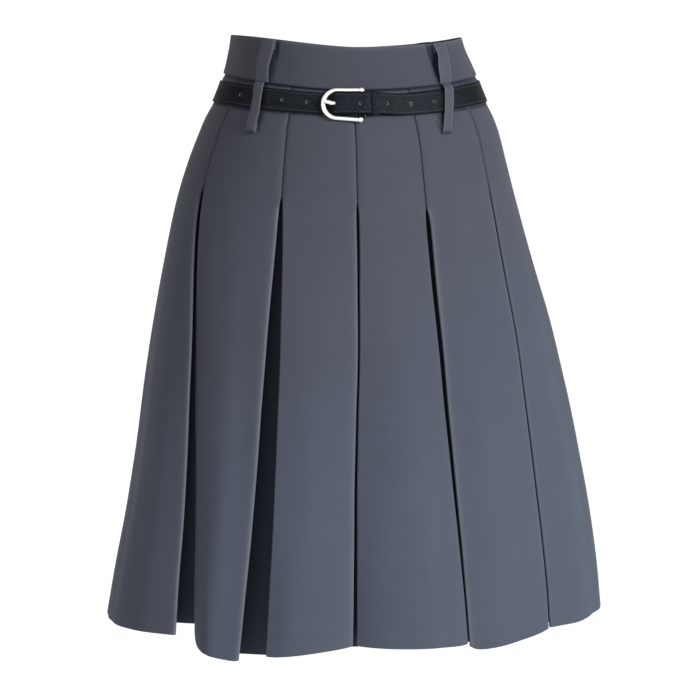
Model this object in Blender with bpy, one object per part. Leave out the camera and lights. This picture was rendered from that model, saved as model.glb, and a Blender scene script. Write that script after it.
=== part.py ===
"""Pleated midi skirt with a shaped waistband, belt carriers, a back zip and a buckled belt.

The cloth hangs as a hollow form on a figure: level sections run from the waist to the
hem, and inverted box pleats are folded into them. Units are metres and +Z is up. The
front faces -Y, and the origin is in the middle of the waistband, on the figure's axis.
Angles are in degrees round that axis: 0 at the centre front, 90 at +X, 180 at the
centre back. A drop is a distance below the waistband's upper edge at the side seams,
and out is a distance out from the middle of the skirt's cloth. Left and right are the
wearer's, so the wearer's left is +X.
"""

import math
from collections import namedtuple

import bmesh
import bpy
from mathutils import Vector

# Driving sizes
SKIRT_LENGTH = 0.606
BAND_HEIGHT = 0.0415
CLOTH = 0.0012
BAND_CLOTH = 0.0024
GAP = 0.0003
FACET = 0.00012  # how far a flat facet cuts inside the curve that it follows
TOP_HEIGHT = BAND_HEIGHT / 2
SIDE_SEAM = 90.0
BACK_SEAM = 180.0

# The waist edge, the waist seam and the belt hang lower at the centre front and back
FRONT_DIP = 0.004
BACK_DIP = 0.015
FRONT_DIP_POWER = 2.0  # a lower power spreads the dip further towards the sides
BACK_DIP_POWER = 1.35
DIP_FADES_OUT = 0.50

# On the wearer's right side the waist edge stands a little higher
RIGHT_RISE = 0.0036
RIGHT_RISE_FADES_OUT = 0.13

# Level sections of the cloth: half ellipses in front and behind, their middle set to one side
Section = namedtuple("Section", "drop half_width front_depth back_depth lean")
SECTIONS = (
    Section(0.0000, 0.1178, 0.0930, 0.0860, 0.0002),
    Section(0.0160, 0.1214, 0.0970, 0.0890, 0.0014),
    Section(0.0415, 0.1298, 0.1040, 0.0950, 0.0040),
    Section(0.0675, 0.1402, 0.1110, 0.1040, 0.0042),
    Section(0.0820, 0.1480, 0.1150, 0.1110, 0.0036),
    Section(0.0985, 0.1547, 0.1195, 0.1180, 0.0030),
    Section(0.1280, 0.1642, 0.1245, 0.1270, 0.0010),
    Section(0.1690, 0.1755, 0.1285, 0.1350, 0.0000),
    Section(0.2320, 0.1903, 0.1340, 0.1410, 0.0019),
    Section(0.2960, 0.2051, 0.1410, 0.1470, 0.0055),
    Section(0.3590, 0.2173, 0.1480, 0.1530, 0.0083),
    Section(0.4230, 0.2288, 0.1550, 0.1590, 0.0115),
    Section(0.4870, 0.2400, 0.1620, 0.1650, 0.0124),
    Section(0.5520, 0.2508, 0.1680, 0.1710, 0.0106),
    Section(0.6060, 0.2578, 0.1720, 0.1750, 0.0084),
)

# Inverted box pleats: each is stitched shut down to its release and hangs open below it
HANGS_FROM = 0.163  # from here down the panels swing out and the pleats spread
OPENS_WITHIN = 0.007
PLEAT_DEPTH_TOP = 0.020
PLEAT_DEPTH_HEM = 0.034
LAYER = 0.0018
SHUT_GAP = 0.0004
PLEAT_LEVELS = (BAND_HEIGHT, HANGS_FROM, 0.300, 0.450, SKIRT_LENGTH)
ROLL_WIDTH = 0.030
PANEL_BILLOW = 0.003

# A lip is a pleat's outer fold. First is the lip at the smaller angle. The five angles and the
# last four gaps between the lips are at the pleat levels. A roll is how far a soft lip turns
# inwards at the hem, and a drop is how much lower the hem hangs there.
Pleat = namedtuple(
    "Pleat",
    "seam_angle top_angle upper_angle lower_angle hem_angle release"
    " top_gap upper_gap lower_gap hem_gap"
    " first_roll second_roll first_drop under_drop second_drop",
)
FRONT_PLEATS = (
    Pleat(
        -65.2, -61.8, -55.7, -51.7, -46.6, 0.1430,
        0.0052, 0.0014, 0.0042, 0.0125, 0.000, 0.014, -0.0085, -0.0130, 0.0020,
    ),
    Pleat(
        -31.3, -25.9, -26.0, -27.3, -26.6, 0.1495,
        0.0042, 0.0140, 0.0198, 0.0285, 0.000, 0.000, 0.0125, 0.0100, 0.0080,
    ),
    Pleat(
        -3.0, 0.1, -1.4, -3.9, -3.1, 0.1550,
        0.0026, 0.0028, 0.0024, 0.0038, 0.000, 0.000, -0.0045, -0.0060, -0.0045,
    ),
    Pleat(
        23.1, 23.9, 22.5, 21.7, 23.8, 0.1615,
        0.0048, 0.0042, 0.0032, 0.0018, 0.008, 0.000, -0.0010, -0.0030, 0.0050,
    ),
    Pleat(
        55.6, 55.1, 51.6, 47.8, 48.1, 0.1440,
        0.0022, 0.0010, 0.0011, 0.0012, 0.000, 0.000, -0.0072, -0.0090, -0.0072,
    ),
)
BACK_LEFT_PLEATS = (
    Pleat(
        118.0, 120.0, 123.5, 126.0, 127.0, 0.1500,
        0.0030, 0.0042, 0.0080, 0.0140, 0.000, 0.006, 0.0020, -0.0010, 0.0000,
    ),
    Pleat(
        155.5, 154.0, 153.6, 154.4, 155.0, 0.1530,
        0.0020, 0.0023, 0.0030, 0.0040, 0.004, 0.000, -0.0010, -0.0030, 0.0010,
    ),
)
BACK_RIGHT_PLEATS = (
    Pleat(
        204.0, 206.0, 206.2, 205.0, 204.0, 0.1520,
        0.0028, 0.0034, 0.0055, 0.0090, 0.000, 0.000, 0.0010, -0.0020, 0.0020,
    ),
    Pleat(
        243.0, 240.0, 236.5, 234.5, 233.0, 0.1470,
        0.0026, 0.0034, 0.0045, 0.0060, 0.008, 0.000, 0.0030, -0.0020, -0.0020,
    ),
)

# Pieces of skirt and of waistband, from one seam to the next
Piece = namedtuple("Piece", "name start_angle end_angle start_drop end_drop pleats")
SKIRT_PIECES = (
    Piece("skirt_front", -SIDE_SEAM, SIDE_SEAM, -0.0045, -0.0046, FRONT_PLEATS),
    Piece("skirt_back_left", SIDE_SEAM, BACK_SEAM, -0.0046, 0.0000, BACK_LEFT_PLEATS),
    Piece("skirt_back_right", BACK_SEAM, 270.0, 0.0000, -0.0045, BACK_RIGHT_PLEATS),
)
BAND_PIECES = (
    Piece("waistband_front", -SIDE_SEAM, SIDE_SEAM, 0.0, 0.0, ()),
    Piece("waistband_back_left", SIDE_SEAM, BACK_SEAM, 0.0, 0.0, ()),
    Piece("waistband_back_right", BACK_SEAM, 270.0, 0.0, 0.0, ()),
)
SKIRT_ROWS = (
    BAND_HEIGHT + GAP, 0.068, 0.100, 0.128, 0.142, 0.152, HANGS_FROM, 0.178,
    0.200, 0.232, 0.280, 0.335, 0.400, 0.470, 0.540, SKIRT_LENGTH,
)
BAND_ROWS = (0.0, 0.014, 0.028, BAND_HEIGHT)
PANEL_STATIONS = (0.0, 0.08, 0.18, 0.30, 0.50, 0.70, 0.82, 0.92, 1.0)
BAND_STEP = 5.0

# The belt lies round the skirt just below the waist seam
BELT_TOP = 0.0465
BELT_BOTTOM = 0.0675
BELT_MIDDLE = (BELT_TOP + BELT_BOTTOM) / 2
STRAP = 0.0016
STRAP_OUT = CLOTH / 2 + GAP + FACET + STRAP / 2
STRAP_LAYER = STRAP + GAP
STRAP_STEP = 4.5
BAR_ANGLE = 2.0
BAR_OUT = 0.0044
BAR_RADIUS = 0.0011
WRAP_RADIUS = BAR_RADIUS + GAP + STRAP / 2
TAIL_END_ANGLE = 40.5
HOLE_PITCH = 0.0260
HOLE_RADIUS = 0.0016
PRONG_HOLE = -0.0278
HOLES_BEHIND = 4
HOLES_AHEAD = 4

# Strap over its own folded end, and its tail over both: along is from the bar, towards +X
Station = namedtuple("Station", "along out")
FOLDED_END = (
    Station(0.030, 0.0017), Station(0.020, 0.0017), Station(0.012, 0.0019), Station(0.005, 0.0021),
)
OVER_FOLDED_END = (
    Station(0.006, 0.0055), Station(0.012, 0.0050), Station(0.020, 0.0043),
    Station(0.031, 0.0037), Station(0.038, 0.0026), Station(0.046, STRAP_OUT),
)
TAIL = (
    Station(-0.062, STRAP_OUT), Station(-0.048, STRAP_OUT), Station(-0.0335, STRAP_OUT),
    Station(-0.0315, 0.0021), Station(-0.029, 0.0046), Station(-0.0265, 0.0073),
    Station(-0.0235, 0.0086), Station(-0.019, 0.0089), Station(-0.010, 0.0089),
    Station(0.000, 0.0088), Station(0.006, 0.0077), Station(0.012, 0.0071),
    Station(0.020, 0.0063), Station(0.031, 0.0057), Station(0.039, 0.0046),
    Station(0.048, STRAP_OUT + STRAP_LAYER),
)

# Buckle: reach is from the bar towards the curved end, rise is out of the frame's plane
FRAME_LENGTH = 0.042
FRAME_RADIUS = 0.0019
KNOB_RADIUS = 0.0027
KNOB_AHEAD = 0.0005
FRAME_HALF_AT_BAR = 0.0157
FRAME_HALF_AT_BEND = 0.0150
FRAME_END_OUT = 0.0056
FRAME_SIDES = 10
PRONG_RADIUS = 0.0009
PRONG_EYE = BAR_RADIUS + GAP + PRONG_RADIUS
PRONG_SLOT_RADIUS = PRONG_RADIUS + 0.00035
PRONG_ON_FRAME = FRAME_RADIUS + GAP + PRONG_RADIUS
PRONG_EYE_TURN = 250.0
PRONG_SLOT_TURN = 275.0
PRONG_SIDES = 8

KEEPER_CLOTH = 0.0008
KEEPER_WIDTH = 0.006
KEEPER_ALONG = 0.009
KEEPER_INNER_OUT = 0.0036
KEEPER_OUTER_OUT = 0.0093
KEEPER_EDGE_GAP = 0.0008
KEEPER_ROUNDING = 0.0006

# Carriers: strips of doubled cloth with their ends turned under
CARRIER_CLOTH = 0.0012
CARRIER_OUT = CLOTH / 2 + GAP + 2 * FACET + CARRIER_CLOTH / 2
TURN_RADIUS = 0.0008
UPPER_WIDTH = 0.0150
LOWER_WIDTH = 0.0120
UPPER_TOP = 0.0022
TURNED_LENGTH = 0.0085
LOWER_END = 0.0885
LOOP_EASE = 0.0002  # how a carrier's strip rises and falls over the belt's edges
Carrier = namedtuple("Carrier", "name top_angle seam_angle end_angle bow layers_of_belt")
CARRIERS = (
    Carrier("carrier_front_right", -43.4, -45.8, -44.5, 0.0035, 1),
    Carrier("carrier_front_left", 46.8, 43.8, 36.2, 0.0045, 2),
    Carrier("carrier_back_left", 134.0, 134.0, 136.0, 0.0030, 1),
    Carrier("carrier_back_right", 226.0, 226.0, 224.0, 0.0030, 1),
)

# Zip
TAPE_WIDTH = 0.024
TAPE = 0.0010
TAPE_TOP = 0.002
TAPE_BOTTOM = 0.205
SLIDER_DROP = 0.0085
SLIDER_SIZE = (0.0064, 0.0016, 0.0095)
EAR_SIZE = (0.0008, 0.0036, 0.0022)
EAR_SPREAD = 0.0038
EAR_SINK = 0.0002  # how far the ears run into the slider, so that the two are one piece
PIN_RADIUS = 0.0006
PIN_OUT = 0.0028
PULL_EYE_RADIUS = 0.0020
PULL_HOLE_RADIUS = 0.0010
PULL_LENGTH = 0.021
PULL_THICKNESS = 0.0012
PULL_HALF_WIDTH_TOP = 0.0012
PULL_HALF_WIDTH_END = 0.0026
PULL_NECK = 0.0035
PULL_END_CORNER = 0.001

CLOTH_COLOUR = (0.095, 0.110, 0.148)
LEATHER_COLOUR = (0.016, 0.019, 0.026)
METAL_COLOUR = (0.78, 0.77, 0.74)
TAPE_COLOUR = (0.060, 0.068, 0.090)


def smooth(value):
    value = min(max(value, 0.0), 1.0)
    return value * value * (3.0 - 2.0 * value)


def mix(first, second, share):
    return first + (second - first) * share


def between_rows(rows, place):
    """The values of a table at any place along its first column, on a smooth curve."""
    place = min(max(place, rows[0][0]), rows[-1][0])
    low = max(i for i in range(len(rows) - 1) if rows[i][0] <= place)
    before = rows[max(low - 1, 0)]
    here = rows[low]
    after = rows[low + 1]
    beyond = rows[min(low + 2, len(rows) - 1)]
    span = after[0] - here[0]
    share = (place - here[0]) / span
    values = [place]
    for i in range(1, len(here)):
        slope_in = (after[i] - before[i]) / (after[0] - before[0]) * span
        slope_out = (beyond[i] - here[i]) / (beyond[0] - here[0]) * span
        values.append(
            here[i] * (1 + 2 * share) * (1 - share) ** 2
            + slope_in * share * (1 - share) ** 2
            + after[i] * share**2 * (3 - 2 * share)
            + slope_out * share**2 * (share - 1)
        )
    return values


def section_at(drop):
    """The section at any drop."""
    return Section(*between_rows(SECTIONS, drop))


def depth_of(section, angle):
    """How deep the section is in front of or behind the side seams."""
    return section.front_depth if math.cos(math.radians(angle)) > 0 else section.back_depth


def dip_at(angle, drop):
    """How much lower a level line hangs at this angle than at the left side seam."""
    facing = math.cos(math.radians(angle))
    dip = FRONT_DIP if facing > 0 else BACK_DIP
    power = FRONT_DIP_POWER if facing > 0 else BACK_DIP_POWER
    dipped = dip * abs(facing) ** power * (1 - smooth(drop / DIP_FADES_OUT))
    rise = RIGHT_RISE * smooth(-math.sin(math.radians(angle)))
    return dipped - rise * (1 - smooth(drop / RIGHT_RISE_FADES_OUT))


def level_point(angle, drop, inward=0.0):
    """A point of a level section, moved straight in towards the figure."""
    section = section_at(drop)
    depth = depth_of(section, angle)
    turn = math.radians(angle)
    outward = Vector((depth * math.sin(turn), -section.half_width * math.cos(turn), 0.0)).normalized()
    point = Vector((
        section.lean + section.half_width * math.sin(turn),
        -depth * math.cos(turn),
        TOP_HEIGHT - drop - dip_at(angle, drop),
    ))
    return point - outward * inward


def surface_point(angle, drop, out):
    """A point moved out from the cloth's middle along the surface's own normal."""
    along = level_point(angle + 0.5, drop) - level_point(angle - 0.5, drop)
    down = level_point(angle, drop + 0.002) - level_point(angle, max(drop - 0.002, 0.0))
    return level_point(angle, drop) + down.cross(along).normalized() * out


def angle_after(angle, drop, distance):
    """The angle reached by walking a distance along a level section."""
    section = section_at(drop)
    depth = depth_of(section, angle)

    def degrees_of(length, at):
        turn = math.radians(at)
        radius = math.hypot(section.half_width * math.cos(turn), depth * math.sin(turn))
        return math.degrees(length / radius)

    steps = 4
    for _ in range(steps):
        halfway = angle + degrees_of(distance / steps / 2, angle)
        angle += degrees_of(distance / steps, halfway)
    return angle


def hanging(drop):
    """How far a drop is from where the cloth starts to hang (0) to the hem (1)."""
    return min(max((drop - HANGS_FROM) / (SKIRT_LENGTH - HANGS_FROM), 0.0), 1.0)


def pleat_angle(pleat, drop):
    """Where the middle of a pleat is at one level."""
    angles = (
        pleat.seam_angle, pleat.top_angle, pleat.upper_angle, pleat.lower_angle, pleat.hem_angle,
    )
    return between_rows(list(zip(PLEAT_LEVELS, angles)), drop)[1]


def gap_of(pleat, drop):
    """The gap between a pleat's two lips."""
    if drop <= pleat.release:
        return SHUT_GAP
    gaps = (pleat.top_gap, pleat.upper_gap, pleat.lower_gap, pleat.hem_gap)
    opened = between_rows(list(zip(PLEAT_LEVELS[1:], gaps)), drop)[1]
    return SHUT_GAP + opened * (1 - math.exp((pleat.release - drop) / OPENS_WITHIN))


def pleat_line(pleat, drop):
    """A pleat's folds at one level, as (angle, inward, hem drop) from lip to lip.

    Each lip turns under by one layer and runs back to the hidden fold, where the
    underlay starts. As the lips part, the hidden layers swing inwards, so that no
    length of cloth changes.
    """
    below = hanging(drop)
    middle = pleat_angle(pleat, drop)
    depth = mix(PLEAT_DEPTH_TOP, PLEAT_DEPTH_HEM, drop / SKIRT_LENGTH)
    parted = (gap_of(pleat, drop) + CLOTH) / 2
    swing = depth * math.sin(math.acos(1 - parted / depth))

    def folds(side, roll, lip_drop):
        lip_in = roll * below
        return [
            (side * parted, lip_in, lip_drop),
            (side * parted, lip_in + LAYER, lip_drop),
            (side * depth, lip_in + LAYER + swing, pleat.under_drop),
            (side * depth, lip_in + 2 * LAYER + swing, pleat.under_drop),
        ]

    first = folds(-1, pleat.first_roll, pleat.first_drop)
    second = folds(1, pleat.second_roll, pleat.second_drop)
    underlay = [
        tuple(mix(a, b, share) for a, b in zip(first[-1], second[-1])) for share in (1 / 3, 2 / 3)
    ]
    line = first + underlay + second[::-1]
    return [(angle_after(middle, drop, along), inward, hem_drop) for along, inward, hem_drop in line]


def panel_line(start, end, first_roll, second_roll, drop):
    """The cloth between two lips or seams, with each soft lip rolled inwards."""
    below = hanging(drop)
    section = section_at(drop)
    width = math.radians(end[0] - start[0]) * (section.half_width + depth_of(section, start[0])) / 2
    line = []
    for share in PANEL_STATIONS:
        near_first = max(1 - share * width / ROLL_WIDTH, 0.0)
        near_second = max(1 - (1 - share) * width / ROLL_WIDTH, 0.0)
        rolled = first_roll * near_first**2 + second_roll * near_second**2
        billow = PANEL_BILLOW * math.sin(math.pi * share)
        line.append((
            mix(start[0], end[0], share),
            (rolled - billow) * below,
            mix(start[2], end[2], share),
        ))
    return line


def piece_line(piece, drop):
    """The middle line of a skirt piece at one level, from its first seam to its last."""
    start = (angle_after(piece.start_angle, drop, GAP / 2), 0.0, piece.start_drop)
    end = (angle_after(piece.end_angle, drop, -GAP / 2), 0.0, piece.end_drop)
    line = []
    roll = 0.0
    for pleat in piece.pleats:
        folds = pleat_line(pleat, drop)
        line += panel_line(start, folds[0], roll, pleat.first_roll, drop)[:-1]
        line += folds[:-1]
        start = folds[-1]
        roll = pleat.second_roll
    line += panel_line(start, end, roll, 0.0, drop)
    lowered = hanging(drop) ** 2
    points = []
    for angle, inward, hem_drop in line:
        point = level_point(angle, drop, inward)
        point.z -= hem_drop * lowered
        points.append(point)
    return points


def band_line(piece, drop):
    """The middle line of a waistband piece, its outer face flush with the skirt's."""
    start = angle_after(piece.start_angle, drop, GAP / 2)
    end = angle_after(piece.end_angle, drop, -GAP / 2)
    steps = round((piece.end_angle - piece.start_angle) / BAND_STEP)
    inward = (BAND_CLOTH - CLOTH) / 2
    return [level_point(mix(start, end, i / steps), drop, inward) for i in range(steps + 1)]


def sides_of(line, thickness):
    """The outer and inner faces of a level line of cloth, mitred at its folds."""
    turns = [(after - before).normalized() for before, after in zip(line, line[1:])]
    outward = [Vector((turn.y, -turn.x, 0.0)).normalized() for turn in turns]
    outer = []
    inner = []
    for i, point in enumerate(line):
        before = outward[max(i - 1, 0)]
        after = outward[min(i, len(outward) - 1)]
        mitre = (before + after) / (1 + before.dot(after)) * (thickness / 2)
        outer.append(point + mitre)
        inner.append(point - mitre)
    return outer, inner


def material(name, colour, roughness, metallic):
    made = bpy.data.materials.new(name)
    made.use_nodes = True
    shader = made.node_tree.nodes["Principled BSDF"]
    shader.inputs["Base Color"].default_value = (*colour, 1.0)
    shader.inputs["Roughness"].default_value = roughness
    shader.inputs["Metallic"].default_value = metallic
    made.diffuse_color = (*colour, 1.0)
    return made


def add_solid(name, points, faces, look, parent, location=(0, 0, 0), tilt=0.0):
    """One closed mesh object with its faces pointing out."""
    mesh = bpy.data.meshes.new(name)
    mesh.from_pydata([tuple(point) for point in points], [], faces)
    shape = bmesh.new()
    shape.from_mesh(mesh)
    bmesh.ops.recalc_face_normals(shape, faces=shape.faces)
    shape.to_mesh(mesh)
    shape.free()
    mesh.shade_smooth()
    mesh.set_sharp_from_angle(angle=math.radians(40))
    mesh.materials.append(look)
    obj = bpy.data.objects.new(name, mesh)
    obj.location = location
    obj.rotation_euler = (tilt, 0.0, 0.0)
    obj.parent = parent
    bpy.context.scene.collection.objects.link(obj)
    return obj


def add_slab(name, outer, inner, look, parent, closed=False):
    """A wall between two grids of points, given as rows. A closed one joins its last row to its first."""
    rows = len(outer)
    columns = len(outer[0])
    points = [point for row in outer for point in row] + [point for row in inner for point in row]
    lift = rows * columns

    def corner(row, column, side):
        return side * lift + (row % rows) * columns + column

    faces = []
    for row in range(rows if closed else rows - 1):
        for column in range(columns - 1):
            for side in (0, 1):
                faces.append((
                    corner(row, column, side), corner(row, column + 1, side),
                    corner(row + 1, column + 1, side), corner(row + 1, column, side),
                ))
        for column in (0, columns - 1):
            faces.append((
                corner(row, column, 0), corner(row + 1, column, 0),
                corner(row + 1, column, 1), corner(row, column, 1),
            ))
    for row in () if closed else (0, rows - 1):
        for column in range(columns - 1):
            faces.append((
                corner(row, column, 0), corner(row, column + 1, 0),
                corner(row, column + 1, 1), corner(row, column, 1),
            ))
    return add_solid(name, points, faces, look, parent)


def add_ribbon(name, edges, thickness, look, parent, closed=False):
    """A strip of even thickness that follows pairs of edge points."""
    middles = [(first + second) / 2 for first, second in edges]
    count = len(edges)
    outer = []
    inner = []
    for i, (first, second) in enumerate(edges):
        ahead = middles[(i + 1) % count] if closed else middles[min(i + 1, count - 1)]
        behind = middles[i - 1] if closed else middles[max(i - 1, 0)]
        push = (second - first).cross(ahead - behind).normalized() * (thickness / 2)
        outer.append((first + push, second + push))
        inner.append((first - push, second - push))
    return add_slab(name, outer, inner, look, parent, closed)


def add_tube(name, path, radii, side, sides, look, parent, closed=False):
    """A round rod along a path that lies in the plane square to side."""
    count = len(path)
    points = []
    for i, (centre, radius) in enumerate(zip(path, radii)):
        ahead = path[(i + 1) % count] if closed else path[min(i + 1, count - 1)]
        behind = path[i - 1] if closed else path[max(i - 1, 0)]
        across = side.cross(ahead - behind).normalized()
        for step in range(sides):
            turn = 2 * math.pi * step / sides
            points.append(centre + (side * math.cos(turn) + across * math.sin(turn)) * radius)
    faces = []
    for i in range(count if closed else count - 1):
        for step in range(sides):
            after = (step + 1) % sides
            ahead = (i + 1) % count
            faces.append((
                i * sides + step, i * sides + after, ahead * sides + after, ahead * sides + step,
            ))
    if not closed:
        faces.append(tuple(range(sides)))
        faces.append(tuple(range((count - 1) * sides, count * sides)))
    return add_solid(name, points, faces, look, parent)


def add_box(name, centre, size, look, parent, location, tilt):
    corners = [
        Vector(centre) + Vector((x * size[0] / 2, y * size[1] / 2, z * size[2] / 2))
        for x in (-1, 1) for y in (-1, 1) for z in (-1, 1)
    ]
    faces = ((0, 1, 3, 2), (4, 5, 7, 6), (0, 1, 5, 4), (2, 3, 7, 6), (0, 2, 6, 4), (1, 3, 7, 5))
    return add_solid(name, corners, faces, look, parent, location, tilt)


def add_rod(name, centre, radius, length, sides, look, parent, location, tilt):
    """A round rod along X."""
    points = []
    for x in (-length / 2, length / 2):
        for step in range(sides):
            turn = 2 * math.pi * step / sides
            points.append(Vector(centre) + Vector((x, radius * math.cos(turn), radius * math.sin(turn))))
    faces = [
        (step, (step + 1) % sides, sides + (step + 1) % sides, sides + step) for step in range(sides)
    ]
    faces += [tuple(range(sides)), tuple(range(sides, 2 * sides))]
    return add_solid(name, points, faces, look, parent, location, tilt)


def combine(target, helper, operation):
    """Join a helper to an object, or cut it away, and keep the helper out of the model."""
    helper.hide_render = True
    helper.display_type = "WIRE"
    step = target.modifiers.new(helper.name, "BOOLEAN")
    step.operation = operation
    step.object = helper
    step.solver = "EXACT"


def add_cloth(pieces, rows, line_of, thickness, look, parent):
    for piece in pieces:
        sides = [sides_of(line_of(piece, drop), thickness) for drop in rows]
        add_slab(piece.name, [side[0] for side in sides], [side[1] for side in sides], look, parent)


def turned_end(drop, direction):
    """Stations round a folded end, from its hidden layer out to the layer that shows."""
    stations = []
    for turn in (0, 60, 120, 180):
        along = TURN_RADIUS * math.sin(math.radians(turn))
        outward = TURN_RADIUS * (1 - math.cos(math.radians(turn)))
        stations.append((drop + direction * along, CARRIER_OUT + outward))
    return stations


def carrier_strip(name, stations, start_angle, end_angle, width, look, parent):
    """A strip down the figure through (drop, out) stations, leaning from one angle to another."""
    drops = [drop for drop, _ in stations]
    edges = []
    for drop, out in stations:
        share = (drop - min(drops)) / (max(drops) - min(drops))
        middle = mix(start_angle, end_angle, share)
        edges.append(tuple(
            surface_point(angle_after(middle, drop, side * width / 2), drop, out) for side in (1, -1)
        ))
    add_ribbon(name, edges, CARRIER_CLOTH, look, parent)


def add_carriers(look, parent):
    shown = CARRIER_OUT + 2 * TURN_RADIUS
    seam = BAND_HEIGHT - 2 * GAP
    for carrier in CARRIERS:
        upper = [(UPPER_TOP + TURNED_LENGTH, CARRIER_OUT)] + turned_end(UPPER_TOP, -1)
        for share in (0.15, 0.3, 0.45, 0.6, 0.75, 0.9, 1.0):
            upper.append((
                mix(UPPER_TOP, seam, share),
                mix(shown, CARRIER_OUT, share) + carrier.bow * math.sin(math.pi * share),
            ))
        over_belt = STRAP_OUT + STRAP_LAYER * (carrier.layers_of_belt - 1)
        over_belt += STRAP / 2 + GAP + CARRIER_CLOTH / 2
        lower = [
            (BAND_HEIGHT + GAP, CARRIER_OUT),
            (BELT_TOP - CARRIER_CLOTH, over_belt - LOOP_EASE),
            (BELT_TOP + CARRIER_CLOTH, over_belt + LOOP_EASE),
            (BELT_MIDDLE, over_belt + 2 * LOOP_EASE),
            (BELT_BOTTOM - CARRIER_CLOTH, over_belt + LOOP_EASE),
            (BELT_BOTTOM + 2 * CARRIER_CLOTH, over_belt - LOOP_EASE),
            (mix(BELT_BOTTOM, LOWER_END, 0.5), shown + 2 * LOOP_EASE),
        ]
        lower += turned_end(LOWER_END, 1)[::-1] + [(LOWER_END - TURNED_LENGTH, CARRIER_OUT)]
        carrier_strip(
            carrier.name + "_upper", upper, carrier.top_angle, carrier.seam_angle, UPPER_WIDTH, look, parent
        )
        carrier_strip(
            carrier.name + "_lower", lower, carrier.seam_angle, carrier.end_angle, LOWER_WIDTH, look, parent
        )


def beside_bar(along):
    """The angle at a distance from the buckle's bar."""
    return angle_after(BAR_ANGLE, BELT_MIDDLE, along)


def strap_route():
    """The strap's way as (angle, out): folded round the bar, once round the figure, and over itself."""
    route = [(beside_bar(station.along), station.out) for station in FOLDED_END]
    for turn in (0, 36, 72, 108, 144, 180):
        along = -WRAP_RADIUS * math.sin(math.radians(turn))
        out = BAR_OUT - WRAP_RADIUS * math.cos(math.radians(turn))
        route.append((beside_bar(along), out))
    route += [(beside_bar(station.along), station.out) for station in OVER_FOLDED_END]
    start = beside_bar(OVER_FOLDED_END[-1].along)
    end = 360 + beside_bar(TAIL[0].along)
    steps = round((end - start) / STRAP_STEP)
    route += [(mix(start, end, i / steps), STRAP_OUT) for i in range(1, steps)]
    route += [(360 + beside_bar(station.along), station.out) for station in TAIL]
    start = 360 + beside_bar(TAIL[-1].along)
    end = 360 + TAIL_END_ANGLE
    steps = 4
    route += [(mix(start, end, i / steps), TAIL[-1].out) for i in range(1, steps + 1)]
    return route


def strap_out(along):
    """How far out the strap's outermost layer lies at a distance from the bar."""
    if along <= TAIL[0].along:
        return STRAP_OUT
    for here, after in zip(TAIL, TAIL[1:]):
        if along <= after.along:
            return mix(here.out, after.out, (along - here.along) / (after.along - here.along))
    return TAIL[-1].out


def add_hole_cutters(look, parent):
    """Short rods through the strap's outermost layer, one for each punched hole but the prong's."""
    sides = 10
    points = []
    faces = []
    half = STRAP / 2 + GAP / 2
    for number in range(-HOLES_BEHIND, HOLES_AHEAD + 1):
        if number == 0:
            continue
        along = PRONG_HOLE + number * HOLE_PITCH
        centre = surface_point(beside_bar(along), BELT_MIDDLE, strap_out(along))
        ahead = surface_point(beside_bar(along + 0.001), BELT_MIDDLE, strap_out(along + 0.001))
        down = surface_point(beside_bar(along), BELT_BOTTOM, strap_out(along)) - centre
        across = (ahead - centre).normalized()
        down = (down - across * down.dot(across)).normalized()
        outward = down.cross(across)
        base = len(points)
        for end in (-half, half):
            for step in range(sides):
                turn = 2 * math.pi * step / sides
                ring = (across * math.cos(turn) + down * math.sin(turn)) * HOLE_RADIUS
                points.append(centre + outward * end + ring)
        for step in range(sides):
            after = (step + 1) % sides
            faces.append((base + step, base + after, base + sides + after, base + sides + step))
        faces.append(tuple(base + step for step in range(sides)))
        faces.append(tuple(base + sides + step for step in range(sides)))
    return add_solid("strap_holes", points, faces, look, parent)


def buckle_axes():
    """The bar's middle, and the directions of reach, of the strap's width and of rise."""
    bar = surface_point(BAR_ANGLE, BELT_MIDDLE, BAR_OUT)
    end = surface_point(beside_bar(-FRAME_LENGTH), BELT_MIDDLE, FRAME_END_OUT)
    top = surface_point(BAR_ANGLE, BELT_TOP, BAR_OUT)
    bottom = surface_point(BAR_ANGLE, BELT_BOTTOM, BAR_OUT)
    down = (bottom - top).normalized()
    reach = (end - bar - down * (end - bar).dot(down)).normalized()
    return bar, reach, down, reach.cross(down)


def add_buckle(look, parent):
    bar, reach, down, rise = buckle_axes()
    bend = FRAME_LENGTH - FRAME_HALF_AT_BEND
    outline = [(0.0, side * FRAME_HALF_AT_BAR * 0.5, BAR_RADIUS) for side in (-1, 0, 1)]
    outline += [
        (0.0, FRAME_HALF_AT_BAR - KNOB_RADIUS, BAR_RADIUS),
        (KNOB_AHEAD, FRAME_HALF_AT_BAR, KNOB_RADIUS),
        (KNOB_RADIUS + 2 * KNOB_AHEAD, FRAME_HALF_AT_BAR, FRAME_RADIUS),
        (bend / 2, mix(FRAME_HALF_AT_BAR, FRAME_HALF_AT_BEND, 0.5), FRAME_RADIUS),
    ]
    steps = 12
    for step in range(steps + 1):
        turn = math.radians(90 - 180 * step / steps)
        outline.append((
            bend + FRAME_HALF_AT_BEND * math.cos(turn), FRAME_HALF_AT_BEND * math.sin(turn), FRAME_RADIUS,
        ))
    outline += [
        (bend / 2, -mix(FRAME_HALF_AT_BAR, FRAME_HALF_AT_BEND, 0.5), FRAME_RADIUS),
        (KNOB_RADIUS + 2 * KNOB_AHEAD, -FRAME_HALF_AT_BAR, FRAME_RADIUS),
        (KNOB_AHEAD, -FRAME_HALF_AT_BAR, KNOB_RADIUS),
        (0.0, -FRAME_HALF_AT_BAR + KNOB_RADIUS, BAR_RADIUS),
    ]
    path = [bar + reach * along + down * across for along, across, _ in outline]
    radii = [radius for _, _, radius in outline]
    add_tube("buckle_frame", path, radii, rise, FRAME_SIDES, look, parent, closed=True)


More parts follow.
